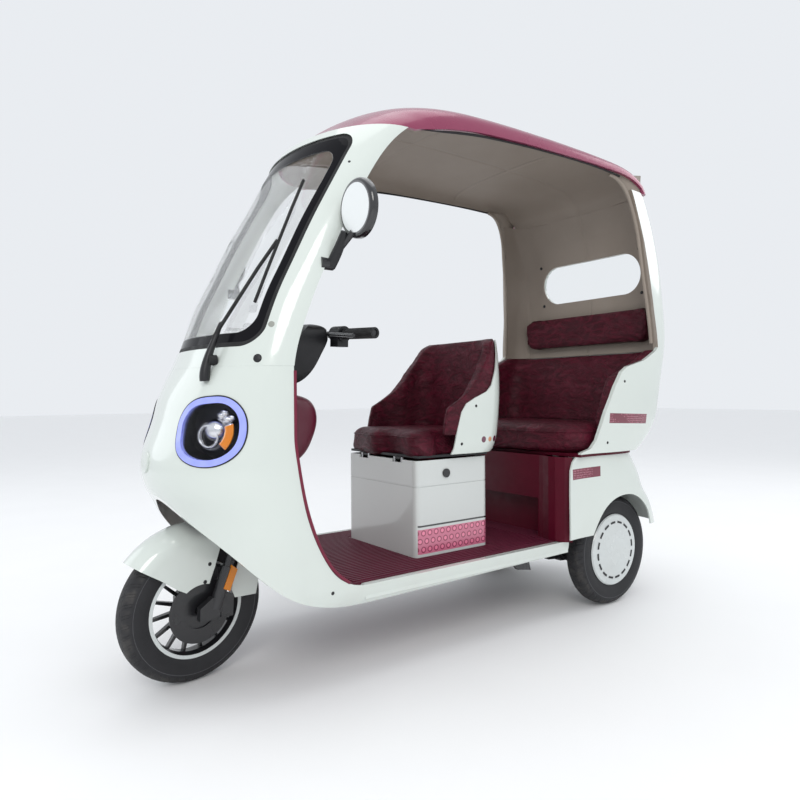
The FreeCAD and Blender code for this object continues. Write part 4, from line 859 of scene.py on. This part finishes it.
def outline_radius(s):
    """Greatest reach of the lamp's ring in each step of angle, evened over three steps."""
    c, out, _ = lamp_frame(s)
    count = 360 // STEP
    far = [0.0] * count
    for v in ring_verts:
        if v.x * s > 0:
            e, h = (v - c).dot(out), v.z - c.z
            k = int(math.degrees(math.atan2(h, e)) % 360 / STEP) % count
            far[k] = max(far[k], math.hypot(e, h))
    return [sum(far[(k + j) % count] for j in (-1, 0, 1)) / 3 for k in range(count)]


def hoop(c, normal, r, n=40):
    """Circle of points about c."""
    side = normal.orthogonal().normalized()
    other = normal.cross(side)
    turns = [2 * math.pi * i / n for i in range(n)]
    return [c + (side * math.cos(a) + other * math.sin(a)) * r for a in turns]


SIDES = ((1, "left"), (-1, "right"))
FACETS = ((0.012, 0.040), (0.030, 0.030), (0.040, 0.012), (0.022, 0.048), (0.044, 0.034))
for s, tag in SIDES:
    c, out, back = lamp_frame(s)
    rim = []
    for k, r in enumerate(outline_radius(s)):
        a = math.radians((k + 0.5) * STEP)
        rim.append(lamp_point(s, (r + 0.001) * math.cos(a), (r + 0.001) * math.sin(a), -0.0006))
    tube("lamp_rim_" + tag, [p for p in rim if p], 0.0022, black, closed=True)
    lamp_patch("lamp_turn_insert_" + tag, s, 0.047, 0.070, -42, 16, 0.0045, 0.008, amber)
    eye = c + back * 0.016 - out * 0.012 - UP * 0.014
    tube("lamp_barrel_ring_" + tag, hoop(eye, back, 0.029), 0.0035, chrome, closed=True)
    inner = hoop(eye + back * 0.012, back, 0.036)
    tube("lamp_inner_ring_" + tag, inner, 0.003, steel, closed=True)
    facing = (out * 0.15 - back).normalized()
    beads = [(c + back * 0.04 + out * e + UP * h, facing) for e, h in FACETS]
    dome("lamp_facets_" + tag, beads, 0.0105, 0.008, chrome)

# Strips on the door openings and the rear posts, and black bars of painted shade under the roof edges
DOOR_EDGE = ((176, 888), (176, 840), (176, 780), (176, 730), (176, 700), (181, 662), (194, 580), (210, 507),
             (239, 426), (268, 370), (304, 322), (340, 299))
MIRROR_ARM = ((332, 292, 1176), (346, 302, 1200), (366, 306, 1228), (386, 306, 1262))
# past this distance from the middle a point belongs to one side's edge
SIDE_PART = 0.3
fair_tree = tree_of("front_fairing")
strip_wine = plastic("strip_wine", (0.16, 0.008, 0.032), 0.35)
cap_verts = [v.co for v in NODES["roof_cap"].data.vertices]
trim_verts = [v.co for v in NODES["rear_trim_panel"].data.vertices]


def smoothed(pts, times):
    """Path evened out between its two ends."""
    for _ in range(times):
        pts = pts[:1] + [(p + q * 2 + r) / 4 for p, q, r in zip(pts, pts[1:], pts[2:])] + pts[-1:]
    return pts


def roof_edge(s):
    """Lower edge of the roof cap on one side, from front to back."""
    edge = []
    for i in range(20):
        y = back_y(560) + i * 0.055
        near = [v for v in cap_verts if v.x * s > SIDE_PART and abs(v.y - y) < 0.04]
        if near:
            low = min(near, key=lambda v: v.z)
            edge.append(Vector((low.x, y, low.z)))
    return smoothed(edge, 6)


def post_edge(s):
    """Front edge of the rear post's lining on one side, from below upward."""
    post = []
    for i in range(14):
        z = 1.02 + i * 0.034
        near = [v for v in trim_verts if v.x * s > SIDE_PART and abs(v.z - z) < 0.03]
        if near:
            front = min(near, key=lambda v: v.y)
            post.append(Vector((front.x - s * 0.002, front.y - 0.004, z)))
    return smoothed(post, 4)


def post_lining(s, tag, post, edge):
    """Lip up the post and round into the roof edge, with the filled corner behind it."""
    roof_end = min(edge, key=lambda p: abs(p.y - back_y(1530)))
    roof_end = Vector((roof_end.x - s * 0.018, roof_end.y, roof_end.z - 0.004))
    rise = post[-1] - post[-3]
    top = post[-1] + rise * ((roof_end.z - post[-1].z) / rise.z)
    corner = Vector(((top.x + roof_end.x) / 2, top.y, top.z))
    arc = [post[-1] * (1 - t) ** 2 + corner * 2 * t * (1 - t) + roof_end * t * t
           for t in [j / 10 for j in range(1, 11)]]
    tube("post_lining_lip_" + tag, post + arc, 0.0075, beige, kind="NURBS")
    fan = [post[-1]] + arc + [corner + Vector((0, 0.09, 0.03))]
    verts = [p + Vector((-s * q, 0, 0)) for q in (0.0, 0.006) for p in fan]
    k = len(fan)
    faces = [(i, i + 1, k - 1) for i in range(k - 2)] + [(k + i + 1, k + i, 2 * k - 1) for i in range(k - 2)]
    faces += [(i, k + i, k + (i + 1) % k, (i + 1) % k) for i in range(k)]
    piece("post_corner_" + tag, verts, faces, beige)


for s, tag in SIDES:
    path = []
    for y, z in DOOR_EDGE:
        p, _ = hit(fair_tree, place(s * 600, y - 6, z), (-s, 0, 0))
        if p is not None:
            path.append(Vector((p.x - s * 0.001, back_y(y) + 0.004, z / 1000)))
    tube("door_edge_strip_" + tag, path, 0.0048, strip_wine, kind="NURBS")
    edge = roof_edge(s)
    # black bar of painted shade for the dark gap between the roof and the lip beneath it
    shadow_gap = [p - Vector((s * 0.007, 0, 0)) for p in edge]
    tube("roof_edge_shadow_gap_" + tag, shadow_gap, 0.0038, black, kind="NURBS",
         radii=[min(1.0, 0.1 + 0.3 * i) for i in range(len(shadow_gap))])
    post_lining(s, tag, post_edge(s), edge)
    arm = [place(s * x, y, z) for x, y, z in MIRROR_ARM]
    tube("mirror_arm_sleeve_" + tag, arm, 0.012, black, kind="NURBS", radii=(1.35, 1.2, 1.25, 0.75))

# Foot of the wiper: heights, with how far it stands off the screen at each
WIPER_X = 0.186
WIPER_FOOT = ((0.862, 0.006), (0.880, 0.015), (0.905, 0.022), (0.935, 0.027), (0.975, 0.030), (1.02, 0.028))
screen_tree = tree_of("front_fairing", "windscreen_frame", "windscreen_glass", "windscreen_seal")
path = []
for z, lift in WIPER_FOOT:
    p, _ = hit(screen_tree, (WIPER_X, -2.0, z), (0, 1, 0))
    path.append(p - Vector((0, lift, 0)))
tube("wiper_foot", path, 0.0095, black, kind="NURBS", radii=(1.4, 1.5, 1.3, 1.05, 0.85, 0.6))
